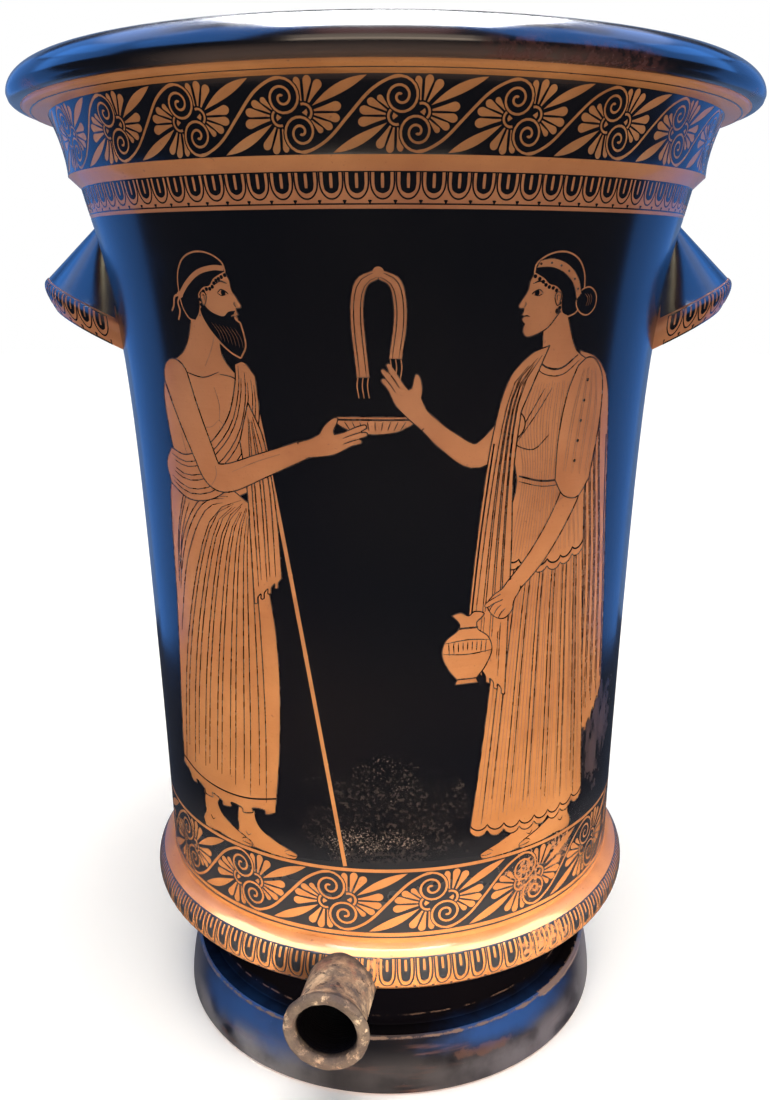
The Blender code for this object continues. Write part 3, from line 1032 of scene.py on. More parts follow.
def petal(base, angle, start, length, width, bend=0.0, steps=12):
    """A petal with a narrow root and a round tip, pointing away from a base point."""
    t = np.sin(np.linspace(0.0, np.pi / 2, steps))  # points drawn together towards the tip
    turn = math.radians(angle) + bend * t
    far = start + (length - start) * t
    line = np.stack([base[0] + far * np.cos(turn), base[1] + far * np.sin(turn)], axis=1)
    swell = 0.20 + 0.80 * np.clip(t / 0.80, 0, 1) ** 1.25
    tip = np.sqrt(np.clip(1 - (np.clip(t - 0.78, 0, 1) / 0.22) ** 2, 0, 1))
    return widened(line, width / 2 * swell * tip)


def leaf(base, angle, start, length, width, bend=0.0, steps=11):
    """A lance-shaped leaf, pointed at both ends."""
    t = np.linspace(0.0, 1.0, steps)
    turn = math.radians(angle) + bend * t
    far = start + (length - start) * t
    line = np.stack([base[0] + far * np.cos(turn), base[1] + far * np.sin(turn)], axis=1)
    return widened(line, width / 2 * np.sin(np.pi * t ** 1.15).clip(0) ** 0.85)


def limb(stations, steps=6):
    """A rounded limb through stations of (x, y, half width), with a round cap at both ends."""
    line = np.array(rounded(stations, steps))
    centre, half = line[:, :2], line[:, 2]
    side = across(centre) * half[:, None]
    left, right = centre + side, centre - side
    caps = []
    for end, first, sign in ((0, right[0], -1), (-1, left[-1], 1)):
        along = np.array([side[end][1], -side[end][0]]) * sign
        turns = np.radians(np.arange(15, 180, 15))[:, None]
        arm = first - centre[end]
        caps.append(centre[end] + arm * np.cos(turns) + along * np.sin(turns))
    return np.vstack([left, caps[1], right[::-1], caps[0]])


def disc(x, y, radius_x, radius_y=None, steps=20):
    turns = np.linspace(0.0, math.tau, steps, endpoint=False)
    return np.stack([radius_x * np.cos(turns), (radius_y or radius_x) * np.sin(turns)], axis=1) + (x, y)


def placed(outline, x, y, angle):
    """An outline turned by an angle in degrees and moved to a point."""
    c, s = math.cos(math.radians(angle)), math.sin(math.radians(angle))
    return np.asarray(outline, float) @ np.array([[c, s], [-s, c]]) + (x, y)


def box_outline(left, bottom, right, top):
    return np.array([(left, bottom), (right, bottom), (right, top), (left, top)], float)


def walk(line):
    """The distance walked along a line at each of its points."""
    steps = np.linalg.norm(np.diff(np.asarray(line, float), axis=0), axis=1)
    return np.concatenate([[0.0], np.cumsum(steps)])


def between(first, second, share, start=0.0, stop=1.0, count=14):
    """A line that lies between two lines: share 0 follows the first, share 1 the second."""
    t = np.linspace(start, stop, count)
    found = []
    for line in (first, second):
        walked = walk(line) / walk(line)[-1]
        found.append(np.stack([np.interp(t, walked, line[:, k]) for k in (0, 1)], axis=1))
    return found[0] * (1 - share) + found[1] * share


# %% The drawing
class Drawing:
    """Painted shapes in their order. A shape is (ink, outline, clip outline or None), in millimetres."""

    def __init__(self):
        self.shapes = []

    def fill(self, ink, outline, clip=None):
        self.shapes.append((ink, np.asarray(outline, float), clip))

    def line(self, points, width=THIN_LINE, ink="relief", clip=None, ends=0.35):
        self.fill(ink, stroke(points, width, ends, 4), clip)

    def lines(self, runs, width=THIN_LINE, ink="relief"):
        for points in runs:
            self.line(points, width, ink)

    def contour(self, outline, width=INK_LINE, ink="relief"):
        closed = np.vstack([outline, outline[:2]])
        self.fill(ink, widened(closed, width / 2))

    def part(self, outline, width=INK_LINE):
        """A reserved shape with a relief line round it."""
        self.fill("clay", outline)
        self.contour(outline, width)

    def folds(self, first, second, shares, start=0.0, stop=1.0, width=FOLD_LINE, ink="relief", clip=None,
              sway=0.0):
        """Fold lines that run between two edges of a garment. Sway lets every other one wander a little."""
        for number, share in enumerate(shares):
            wander = sway * math.sin(2.4 * number)
            low = start + 0.5 * abs(wander)
            high = stop - 0.6 * abs(math.sin(1.7 * number)) * sway
            line = between(first, second, share + 0.02 * wander, low, high)
            self.fill(ink, stroke(line, width, 0.3, 1), clip)

    def add(self, other, x=0.0, y=0.0, mirror=False):
        """Copies another drawing into this one, moved and perhaps mirrored."""
        factor = np.array([-1.0 if mirror else 1.0, 1.0])
        clips = {id(None): None}
        for ink, outline, clip in other.shapes:
            if id(clip) not in clips:
                clips[id(clip)] = clip * factor + (x, y)
            self.shapes.append((ink, outline * factor + (x, y), clips[id(clip)]))


def spread(low, high, count, unevenness=0.18):
    """Shares from low to high, spaced a little unevenly, as hand-drawn folds are."""
    base = np.linspace(low, high, count)
    gap = (high - low) / max(count - 1, 1)
    return [float(value + unevenness * gap * math.sin(3.1 * k + 1.0)) for k, value in enumerate(base)]

# %% [markdown]
# ## Ornament units
# Each ornament band is one unit repeated round the vessel, so only the unit is drawn. The palmette unit is
# a pair of spirals with a fan of petals on each side, and a long tendril swings from the lower spiral of one
# unit to the upper spiral of the next. It looks the same when turned by half a turn, so only one half is
# drawn and copied. The egg unit has a dark tongue in two outlines, with a dot between the eggs.

# %% The palmette unit
def half_turn(outline):
    return -np.asarray(outline, float)[::-1]


def spiral(centre, radius, quarter_turns, shrink, start=90.0, per_quarter=5):
    """Points of a spiral that winds inwards, clockwise from the top."""
    q = np.linspace(0.0, quarter_turns, int(quarter_turns * per_quarter) + 1)
    turns = np.radians(start - 90.0 * q)
    far = radius - shrink * q
    return np.stack([centre[0] + far * np.cos(turns), centre[1] + far * np.sin(turns)], axis=1)


PETALS = [  # angle, length and width of each petal of the right-hand fan
    (98.0, 15.6, 3.3), (78.0, 16.4, 4.0), (58.0, 16.4, 4.3), (9.0, 18.0, 4.5), (-10.0, 17.2, 4.2),
    (-28.5, 15.0, 3.8), (-46.5, 12.2, 2.9),
]


def palmette_unit(width, height, line=1.2):
    """One unit of the palmette band, centred at the origin: reserved shapes on black, in millimetres."""
    size = height / 35.0
    unit = Drawing()
    upper = np.array((-3.9, 7.7))
    coil = spiral(upper, 8.7, 8.3, 0.97)
    start = np.array((3.5 - width / size, -16.4))
    rise = np.array((upper[0], 16.4)) - start
    swing = [start + rise * share for share in (
        (0.0, 0.0), (0.13, 0.045), (0.30, 0.20), (0.50, 0.50), (0.70, 0.80), (0.87, 0.955))]
    tendril = np.vstack([path(swing + [coil[0], coil[3]], 5)[:-5], coil])
    hub = np.array((5.9, 1.0))
    heart = shape([hub + (1.4, 1.5)], [hub + (1.9, 0.0)], [hub + (1.2, -1.6)], [hub + (-0.9, -0.1)])
    fan = [widened(spiral(hub, 3.7, 1.95, 0.0, 108.0), line / 2), heart]
    fan += [petal(hub, angle, 5.0, length, wide) for angle, length, wide in PETALS]
    fan += [leaf(hub, 33.5, 5.0, 34.0, 4.6, -0.10)]
    layers = [("clay", outline) for outline in fan]
    layers += [("black", widened(tendril, line / 2 + 0.5)), ("clay", widened(tendril, line / 2))]
    for ink, outline in layers:
        for half in (outline, half_turn(outline)):
            for step in (-1, 0, 1):
                unit.fill(ink, half * size + (step * width, 0.0))
    return unit


def palmette_band(width, height, low_line, high_line):
    """A palmette unit between a lower and an upper reserved line, with its foot at height zero."""
    band = Drawing()
    band.fill("black", box_outline(-width, 0.0, width, height))
    if low_line:
        band.fill("clay", box_outline(-width, 0.0, width, low_line))
    if high_line:
        band.fill("clay", box_outline(-width, height - high_line, width, height))
    inner = height - low_line - high_line
    band.add(palmette_unit(width, inner), y=low_line + inner / 2)
    return band


# %% The egg unit
def egg_unit(width, height, line=0.62, tongue=0.28, slit=0.12, loop_half=0.46, slit_foot=0.50):
    """One egg with its outlines, hanging from a black line: black on reserved clay, foot at height zero."""
    unit = Drawing()
    unit.fill("black", box_outline(-width, height * 0.965, width, height))
    unit.fill("black", box_outline(-width, 0.0, width, height * 0.045))
    hang = [(-loop_half, 1.0), (-loop_half, 0.66), (-0.86 * loop_half, 0.42), (-0.48 * loop_half, 0.235),
            (0.0, 0.175)]
    hang += [(-x, y) for x, y in hang[-2::-1]]
    outer = path([(x * width, y * height) for x, y in hang], 4)
    half = tongue * width
    low = [(0.78 * half, 0.43 * height), (0.0, 0.34 * height), (-0.78 * half, 0.43 * height)]
    outline = shape([(half, height), (half, 0.62 * height)], [*low, (-half, 0.62 * height)],
                    [(-half, height)], steps=4)
    for step in (-1, 0, 1):
        shift = (step * width, 0.0)
        unit.fill("black", widened(outer, line / 2) + shift)
        unit.fill("black", outline + shift)
        middle_slit = [(0.0, 0.94 * height), (0.0, slit_foot * height)]
        unit.fill("clay", stroke(middle_slit, slit * width, 0.8) + shift)
        dart_foot = ((step + 0.5) * width, 0.02 * height)
        unit.fill("black", petal(dart_foot, 90.0, 0.0, 0.13 * height, 0.17 * width))
    return unit

# %% [markdown]
# ## Figures: heads, hands and feet
# All figures share these. A head is drawn facing right, one head height from crown to chin, and the hair is
# a black mass inside a thin reserved border, which parts it from the black ground. Hands and feet are drawn
# at the origin and turned to the end of an arm or a leg.

# %% Heads
HEAD = 40.0  # crown to chin, in millimetres
HEAD_X, HEAD_Y = 10, 277  # the middle of a standing figure's head


def at(*points):
    """Places on a figure's head, from shares of its height counted from its middle."""
    return [(HEAD_X + HEAD * a, HEAD_Y + HEAD * b) for a, b in points]


def face(drawing, beard=False):
    """A calm profile facing right, with its neck left to the body."""
    front = at((0.27, 0.34), (0.335, 0.22), (0.35, 0.11), (0.40, 0.02), (0.445, -0.055))
    lips = at((0.43, -0.085), (0.375, -0.092))
    mouth = at((0.385, -0.135), (0.40, -0.155), (0.365, -0.175))
    low_lip = at((0.39, -0.20), (0.375, -0.235), (0.35, -0.255))
    chin = at((0.365, -0.30), (0.355, -0.36), (0.30, -0.40), (0.19, -0.375), (0.05, -0.30), (-0.05, -0.18))
    back = at((-0.20, 0.05), (-0.05, 0.34), (0.27, 0.34))
    drawing.part(shape(front, lips, mouth, low_lip, chin, back, steps=4), 0.5)
    drawing.line(at((0.365, -0.175), (0.33, -0.168), (0.295, -0.178)), 0.5)
    drawing.line(at((0.375, -0.075), (0.355, -0.045), (0.365, -0.02)))
    drawing.line(at((0.15, 0.165), (0.22, 0.20), (0.30, 0.175)), 0.62)
    drawing.line(at((0.165, 0.075), (0.215, 0.11), (0.275, 0.085), (0.30, 0.06)), 0.55)
    drawing.line(at((0.165, 0.07), (0.215, 0.045), (0.275, 0.055)))
    drawing.fill("black", disc(*at((0.238, 0.075))[0], 1.15, 1.35, steps=12))
    if beard:
        fringe = at((-0.06, -0.02), (0.00, -0.10), (0.08, -0.15), (0.20, -0.18), (0.27, -0.13),
                    (0.36, -0.115))
        under = at((0.335, -0.16), (0.345, -0.215), (0.395, -0.25))
        tip = at((0.42, -0.36), (0.43, -0.50), (0.36, -0.62))
        rear = at((0.24, -0.56), (0.10, -0.44), (-0.02, -0.30), (-0.10, -0.14), (-0.06, -0.02))
        outline = shape(fringe, under, tip, rear, steps=4)
        drawing.fill("clay", widened(np.vstack([outline, outline[:2]]), 0.85))
        drawing.fill("black", outline)
        for k in range(7):
            start = at((0.02 + 0.05 * k, -0.24 - 0.01 * k))[0]
            end = at((0.14 + 0.045 * k, -0.46 - 0.012 * k))[0]
            middle = ((start[0] + end[0]) / 2 + 1.0, (start[1] + end[1]) / 2)
            drawing.line([start, middle, end], 0.22, "clay")
        drawing.line(at((0.30, -0.178), (0.335, -0.166), (0.372, -0.178)), 0.75, "clay")
        drawing.line(at((0.31, -0.178), (0.335, -0.174), (0.36, -0.178)), 0.3)


def ear(drawing):
    outer = at((-0.075, 0.03), (-0.06, 0.075), (-0.015, 0.08), (0.01, 0.04), (-0.005, -0.02),
               (-0.035, -0.065), (-0.06, -0.05), (-0.065, -0.01))
    drawing.part(loop(outer, 4), 0.45)
    drawing.line(at((-0.05, 0.045), (-0.02, 0.045), (-0.025, -0.01)), 0.4)


def hair_mass(drawing, outline, border=0.8, curls=()):
    """Hair: black inside a reserved border, with a row of dots along its front edge."""
    closed = np.vstack([outline, outline[:2]])
    drawing.fill("clay", widened(closed, border))
    drawing.fill("black", outline)
    for x, y in curls:
        drawing.fill("black", disc(x, y, 0.85, steps=10))


def short_hair(drawing):
    """Short hair with a reserved fillet tied at the back."""
    crown = at((0.29, 0.30), (0.26, 0.40), (0.12, 0.485), (-0.06, 0.50), (-0.23, 0.43), (-0.34, 0.28),
               (-0.375, 0.10), (-0.36, -0.08), (-0.29, -0.20), (-0.20, -0.23))
    front = at((-0.14, -0.16), (-0.10, -0.06), (-0.10, 0.05), (-0.02, 0.13), (0.07, 0.15), (0.13, 0.22),
               (0.20, 0.26), (0.29, 0.30))
    hair_mass(drawing, shape(crown, front, steps=4), curls=path(front, 4)[3::2] + (0.9, -1.1))
    band = path(at((0.285, 0.335), (0.14, 0.34), (-0.06, 0.29), (-0.24, 0.17), (-0.37, 0.04)), 5)
    drawing.fill("clay", widened(band, 1.15))
    ends = [at((-0.37, 0.04), (-0.43, -0.04), (-0.42, -0.14), (-0.47, -0.24)),
            at((-0.37, 0.05), (-0.47, 0.02), (-0.51, -0.08), (-0.56, -0.14))]
    for tie in ends:
        drawing.line(tie, 1.1, "clay", ends=0.8)
    drawing.fill("clay", disc(*at((-0.375, 0.045))[0], 1.9, 1.5))


def bound_hair(drawing):
    """Long hair bound up in a knot at the nape, with a broad patterned band."""
    knot = loop(at((-0.34, 0.08), (-0.46, 0.12), (-0.57, 0.04), (-0.58, -0.09), (-0.49, -0.17),
                   (-0.37, -0.14), (-0.30, -0.04)), 4)
    crown = at((0.29, 0.29), (0.27, 0.39), (0.13, 0.48), (-0.05, 0.50), (-0.22, 0.43), (-0.33, 0.29),
               (-0.37, 0.12), (-0.36, -0.04), (-0.30, -0.14), (-0.20, -0.18))
    front = at((-0.12, -0.14), (-0.09, -0.04), (-0.08, 0.06), (0.00, 0.14), (0.10, 0.17), (0.18, 0.235),
               (0.29, 0.29))
    hair_mass(drawing, shape(crown, front, steps=4), curls=path(front, 4)[3::2] + (0.9, -1.0))
    hair_mass(drawing, knot, 0.7)
    for k in range(3):
        drawing.line(at((-0.40 - 0.04 * k, 0.06), (-0.46 - 0.03 * k, 0.0), (-0.44 - 0.03 * k, -0.09)), 0.25,
                     "clay")
    band_top = path(at((0.25, 0.42), (0.08, 0.44), (-0.12, 0.37), (-0.27, 0.23), (-0.35, 0.06)), 5)
    band_low = path(at((0.28, 0.34), (0.10, 0.345), (-0.08, 0.28), (-0.22, 0.15), (-0.29, -0.01)), 5)
    band = np.vstack([band_top, band_low[::-1]])
    drawing.fill("clay", band)
    for x, y in between(band_top, band_low, 0.5, 0.04, 0.96, 12)[::2]:
        drawing.fill("relief", disc(x, y, 0.55, steps=8))
    drawing.contour(band, 0.35)


# %% Hands, feet and staff
def grip_hand(drawing, x, y, angle):
    """A closed hand round a rod, at the end of a forearm that points along the angle."""
    outline = loop([(-3, 3.6), (3, 4.4), (8, 6.4), (13, 6.4), (15.5, 2.6), (15.8, -2.4), (13.5, -6.4),
                    (8.5, -7.2), (4, -5.0), (-3, -3.8)], 4)
    drawing.part(placed(outline, x, y, angle), 0.5)
    for low in (3.1, -0.1, -3.3):
        knuckle = placed([(15.6, low), (12.4, low + 0.4), (9.6, low - 0.2)], x, y, angle)
        drawing.line(knuckle, 0.45)
    thumb = loop([(4.5, 2.6), (8.0, 4.6), (12.2, 6.8), (14.6, 6.9), (14.4, 5.2), (11.0, 3.4), (7.0, 0.8)], 4)
    drawing.part(placed(thumb, x, y, angle), THIN_LINE)


def open_hand(drawing, x, y, angle):
    """A hand held out flat, its thumb above, as it bears a bowl or takes a gift."""
    outline = shape([(-3, 3.6), (3, 3.9), (8, 5.2)], [(11, 8.2), (15.5, 10.6), (17.8, 10.2), (16.8, 8.0)],
                    [(14.5, 5.2), (14.5, 3.4)], [(19, 3.6), (25, 4.6), (28.6, 4.6), (29.0, 3.0)],
                    [(26, 1.9), (28.4, 1.2), (28.2, -0.4), (24.5, -0.9)],
                    [(25.4, -1.8), (24.6, -3.2), (20, -3.4), (13, -5.2), (6, -5.0), (-3, -3.7)], steps=4)
    drawing.part(placed(outline, x, y, angle), 0.5)
    for a, b in (((26, 1.9), (17.5, 0.9)), ((24.5, -0.9), (17, -1.6))):
        middle = ((a[0] + b[0]) / 2, (a[1] + b[1]) / 2 + 0.15)
        drawing.line(placed([a, middle, b], x, y, angle))


def foot(drawing, x):
    """A bare foot in profile, its heel at x, pointing right."""
    outline = shape([(-1, 22), (-2.2, 15), (-1.6, 10), (-4.4, 4.5), (-3.4, 0.8)],
                    [(0, 0), (10, 0.9), (20, 0)],
                    [(31, 0), (34.6, 0.6), (35.4, 3.0), (31, 5.2), (23, 8.2), (14.5, 12.4), (10.8, 17),
                     (10, 22)], [(-1, 22)], steps=4)
    drawing.part(outline + (x, 0.0), 0.5)
    for run in ([(35.2, 2.0), (31.5, 1.9), (28.6, 2.5)], [(31.5, 5.0), (29.4, 4.4), (28.0, 3.4)],
                [(3.0, 8.8), (4.8, 7.0), (7.0, 8.4)]):
        drawing.line(np.array(run) + (x, 0.0))


def staff(drawing, top, foot_point, width=2.1):
    line = np.linspace(top, foot_point, 30)
    drawing.fill("clay", widened(line, width / 2))
    for share in (0.16, 0.37, 0.55, 0.78):
        knot = line[int(share * 29)]
        drawing.fill("clay", disc(knot[0], knot[1], width * 0.62, width * 0.45))


# %% [markdown]
# ## Figures: garments
# A garment is an outline filled with clay, a relief line round it, and folds that run between two of its
# edges. Zigzag hems step up along the edge, as the painter's pleats do. Fine pleats are dilute lines, which
# fire to a golden brown.

# %% Hems and pleats
def zigzag(points, width, drop):
    """The stepped hem of stacked folds along a line: each fold ends in a small square tongue."""
    line = np.asarray(points, float)
    walked = walk(line)
    count = max(2, round(walked[-1] / width))
    hem = []
    for k in range(count):
        a = [np.interp((k + share) / count * walked[-1], walked, line[:, axis])
             for share in (0.0, 0.5, 0.58, 1.0) for axis in (0, 1)]
        hem += [(a[0], a[1]), (a[2], a[3] - drop * 0.25), (a[4], a[5] - drop), (a[6], a[7] - drop * 0.75)]
    return hem


def scallops(points, width, depth):
    """A hem of shallow hanging curves along a line, one to each group of pleats."""
    line = np.asarray(points, float)
    walked = walk(line)
    count = max(2, round(walked[-1] / width))
    t = np.linspace(0.0, 1.0, count * 8 + 1)
    x, y = (np.interp(t * walked[-1], walked, line[:, axis]) for axis in (0, 1))
    return np.stack([x, y - depth * np.abs(np.sin(np.pi * t * count)) ** 0.7], axis=1)


def hem_border(drawing, points, clip):
    """A dark border line that follows a hem, two millimetres inside it."""
    drawing.fill("black", widened(path(points) + (0.0, 2.0), 0.4), clip)


# %% [markdown]
# ## The front of the vessel
# Two figures face each other over an empty middle field. On the left a bearded man leans on his staff and
# holds out a shallow bowl. On the right a woman in a pleated chiton and a shawl lowers a jug.

# %% The man with the bowl
def bowl(drawing, x, y, width=36.0, height=8.0):
    """A shallow bowl seen from the side."""
    w, h = width / 2, height
    outline = shape([(x - w, y + h), (x + w, y + h)],
                    [(x + w * 0.90, y + h * 0.55), (x + w * 0.5, y + h * 0.12), (x, y),
                     (x - w * 0.5, y + h * 0.12), (x - w * 0.90, y + h * 0.55), (x - w, y + h)])
    drawing.part(outline, 0.5)
    drawing.line([(x - w, y + h * 0.82), (x + w, y + h * 0.82)], 0.8, "relief", ends=1.0)
    for k in range(-4, 5):
        drawing.line([(x + k * w * 0.185, y + h * 0.72), (x + k * w * 0.15, y + h * 0.22)])


def bare_chest(drawing):
    outline = shape([(0, 271), (-3, 262), (-8, 254), (-16, 249), (-24, 244)],
                    [(-29, 232), (-28, 214), (-24, 196)],
                    [(-2, 180), (22, 190)], [(21, 206), (24, 222), (27, 234), (23, 243)],
                    [(17, 249), (14.5, 255), (15, 268)], [(0, 271)])
    drawing.part(outline)
    drawing.lines([[(-10, 244), (2, 242), (12, 245)], [(12, 244), (19, 243), (24, 240)]], 0.5)
    drawing.lines([
        [(8, 238), (10, 230), (9, 222)], [(9, 223), (3, 219), (-6, 220), (-12, 226)],
        [(9, 223), (14, 219), (20, 220), (24, 225)], [(9, 220), (9, 210), (8, 198)],
        [(0, 213), (6, 211), (12, 212), (18, 213)], [(-2, 204), (5, 202), (12, 203), (17, 204)],
        [(-18, 214), (-16, 206), (-12, 199)],
    ], ink="dilute")
    drawing.line([(12, 262), (9, 255), (4, 247)], ink="dilute")


def wrapped_mantle(drawing):
    """The lower body's mantle: gathered at the far hip, its folds falling from there to the hem."""
    rear = [(-27, 200), (-33, 186), (-36, 165), (-38, 130), (-42, 90), (-46, 55), (-48, 30)]
    hem_line = [(-48, 30), (-30, 24), (-10, 22), (10, 23), (28, 27)]
    front = [(28, 27), (32, 60), (34, 95), (33, 125), (29, 155), (27, 182)]
    drawing.part(shape(rear, zigzag(hem_line, 15, 3.4), front, [(10, 192), (-10, 198), (-27, 200)]))
    body = shape(rear, zigzag(hem_line, 15, 3.4), front, [(10, 196), (-10, 200), (-27, 200)])
    drawing.folds(path([(18, 186), (-2, 176), (-20, 140), (-36, 90), (-46, 34)]),
                  path([(24, 184), (25, 150), (26, 110), (26, 70), (24, 28)]),
                  spread(0.02, 0.98, 14), clip=body, sway=0.10)
    drawing.folds(path([(10, 187), (-8, 184), (-24, 166), (-34, 140)]),
                  path([(12, 185), (-6, 178), (-24, 150), (-36, 110)]),
                  spread(0.0, 1.0, 3), clip=body, sway=0.12)
    drawing.folds(path([(-24, 190), (-33, 160), (-36, 120), (-40, 80), (-43, 40)]),
                  path([(-12, 188), (-27, 160), (-33, 120), (-37, 80), (-38, 36)]),
                  spread(0.35, 0.9, 3), stop=0.36, clip=body, sway=0.12)
    hem_border(drawing, [(-50, 33), (-30, 27.5), (-10, 25.5), (10, 26.5), (30, 31)], body)
    edge_top = [(-28, 206), (-16, 204), (0, 210), (14, 224), (20, 240), (21, 249)]
    edge_low = [(-32, 188), (-16, 182), (4, 186), (22, 202), (31, 224), (31, 244)]
    bundle = shape(edge_top, [(26, 250), (31, 244)], edge_low[::-1][1:], [(-34, 198), (-28, 206)])
    drawing.part(bundle)
    drawing.folds(path(edge_top), path(edge_low), spread(0.14, 0.88, 6), clip=bundle, sway=0.10)
    fall = shape([(26, 232), (33, 214), (37, 180), (38, 150)], zigzag([(38, 150), (22, 138)], 5.6, 3.2),
                 [(22, 160), (22, 190), (20, 214)], [(26, 232)])
    drawing.part(fall)
    drawing.folds(path([(25, 226), (23, 200), (23, 142)]), path([(28, 226), (35, 196), (36, 148)]),
                  spread(0.12, 0.88, 5), stop=0.98, clip=fall, sway=0.06)


def man_with_bowl():
    man = Drawing()
    foot(man, 4)
    staff(man, (30, 232), (66, 0.5))
    foot(man, -24)
    shin = shape([(-25, 40), (-26, 20)], [(-13, 20), (-8, 40)], [(-25, 40)])
    man.fill("clay", shin)
    bare_chest(man)
    wrapped_mantle(man)
    face(man, beard=True)
    short_hair(man)
    ear(man)
    arm = limb([(-17, 240, 9.5), (-12, 226, 8.6), (-4, 208, 7.4), (2, 197, 6.8), (12, 196, 6.6),
                (30, 203, 5.6), (52, 212, 4.3)])
    bowl(man, 84, 219.5)
    man.part(arm)
    man.line([(0, 190.5), (4, 196), (4, 201)], ink="dilute")
    man.line([(14, 199), (28, 205), (44, 210.5)], ink="dilute")
    open_hand(man, 53, 212.5, 14)
    man.fill("clay", limb([(44, 209.0, 3.6), (60, 214.2, 3.3)]))
    return man


# %% The woman with the jug
def jug(drawing, x, y):
    """A jug with a trefoil mouth and a high handle, its foot at y."""
    grip = path([(x - 7.5, y + 34), (x - 13.5, y + 37), (x - 16.0, y + 30), (x - 12.5, y + 20)], 5)
    drawing.fill("clay", widened(grip, 1.1))
    body = shape([(x - 6, y), (x - 5.0, y + 2.5)],
                 [(x - 9.5, y + 8), (x - 12.8, y + 16), (x - 10.6, y + 23), (x - 5.0, y + 27.5),
                  (x - 4.2, y + 31)],
                 [(x - 8.0, y + 35), (x - 3, y + 36.5), (x, y + 34.6), (x + 4, y + 36.5),
                  (x + 8.6, y + 35.5)],
                 [(x + 4.6, y + 31), (x + 5.4, y + 27.5), (x + 11.0, y + 23), (x + 12.8, y + 16),
                  (x + 9.5, y + 8), (x + 5.0, y + 2.5)], [(x + 6, y)], [(x - 6, y)])
    drawing.part(body)
    drawing.line([(x - 5.0, y + 28.5), (x + 5.0, y + 28.5)], 0.9, ends=1.0)
    drawing.line([(x - 11.5, y + 21.5), (x, y + 22.6), (x + 11.5, y + 21.5)], 0.5)
    for k in range(-4, 5):
        drawing.line([(x + 2.4 * k, y + 21.6), (x + 2.3 * k, y + 17.2 - 0.12 * k * k)], 0.5)
    drawing.line([(x - 12.5, y + 16.2), (x, y + 15.2), (x + 12.5, y + 16.2)], 0.5)
    drawing.line([(x - 5.2, y + 2.6), (x + 5.2, y + 2.6)], 0.6, ends=1.0)


def pleated_skirt(drawing):
    """The chiton's long skirt: dilute pleats in groups down to a scalloped hem."""
    rear = [(-17, 186), (-23, 160), (-28, 120), (-34, 70), (-40, 17)]
    hem = scallops([(-40, 17), (-16, 13.5), (12, 13.5), (40, 17)], 10.0, 3.0)
    front = [(40, 17), (35, 60), (30, 110), (25, 150), (16, 186)]
    outline = shape(rear, [tuple(p) for p in hem[1:]], front[1:], [(-17, 186)], steps=3)
    drawing.part(outline)
    left = path([(-17, 186), (-23, 160), (-28, 120), (-34, 70), (-39.5, 15)])
    right = path([(16, 186), (25, 150), (30, 110), (35, 60), (39.5, 15)])
    drawing.folds(left, right, spread(0.04, 0.96, 30, 0.35), 0.0, 0.97, THIN_LINE, "dilute", outline, 0.05)
    drawing.folds(left, right, spread(0.08, 0.94, 12, 0.3), stop=0.985, clip=outline, sway=0.16)
    hem_line = scallops([(-40, 20.5), (-16, 17), (12, 17), (40, 20.5)], 10.0, 3.0)
    drawing.fill("black", widened(hem_line, 0.35), outline)


def overfold(drawing):
    """The chiton above the belt and its overfold, in close fine pleats."""
    hem_line = scallops([(-24, 158), (-6, 152), (12, 152), (27, 157)], 8.5, 2.4)
    outline = shape([(3, 273), (-1, 263), (-6, 254), (-16, 248), (-25, 240)],
                    [(-27, 220), (-21, 196), (-24, 158)], [tuple(p) for p in hem_line[1:]],
                    [(25, 180), (22, 196), (27, 216), (25, 232), (21, 244)],
                    [(16, 250), (14, 256), (15, 268)], [(3, 273)], steps=3)
    drawing.part(outline)
    drawing.line([(-7, 252), (2, 246.5), (10, 247), (16, 251)], 0.9)
    drawing.line([(-9, 250), (1, 243.5), (11, 244), (18, 249)], 0.45)
    left = path([(-18, 247), (-23, 226), (-17, 197), (-23, 157)])
    right = path([(19, 246), (25, 224), (20, 197), (26, 156)])
    drawing.folds(left, right, spread(0.03, 0.97, 27, 0.3), 0.06, 0.985, THIN_LINE, "dilute", outline, 0.03)
    drawing.folds(path([(0, 240), (10, 226), (22, 214)]), path([(18, 243), (25, 228), (27, 214)]),
                  spread(0.2, 0.8, 3), 0.1, width=THIN_LINE, clip=outline, sway=0.1)
    drawing.line([(6, 216), (14, 210), (24, 213), (27, 219)], 0.5, clip=outline)
    drawing.line([(-20, 198), (-6, 194.5), (8, 194.5), (21, 198)], 1.0, clip=outline, ends=0.8)
    drawing.line([(-20, 195.5), (-6, 192), (8, 192), (21, 195.5)], 0.45, clip=outline, ends=0.8)
    border = scallops([(-24, 161.5), (-6, 155.5), (12, 155.5), (27, 160.5)], 8.5, 2.4)
    drawing.fill("black", widened(border, 0.4), outline)


def shawl_behind(drawing):
    """The shawl's long end down the back, with a stepped hem."""
    outline = shape([(-8, 254), (-20, 250), (-31, 238), (-37, 212), (-43, 170), (-50, 120), (-55, 74)],
                    zigzag([(-55, 74), (-42, 58), (-27, 49)], 6.2, 3.4),
                    [(-27, 80), (-24, 120), (-18, 170), (-14, 200)], [(-8, 254)])
    drawing.part(outline)
    drawing.folds(path([(-12, 250), (-27, 236), (-34, 200), (-43, 150), (-53, 73)]),
                  path([(-10, 248), (-16, 226), (-19, 190), (-25, 140), (-29, 51)]),
                  spread(0.12, 0.92, 8, 0.3), stop=0.99, clip=outline, sway=0.08)
    edge = path([(-35.6, 212), (-41.4, 170), (-48.4, 120), (-52.8, 80)], 5)
    drawing.fill("black", widened(edge, 0.45), outline)


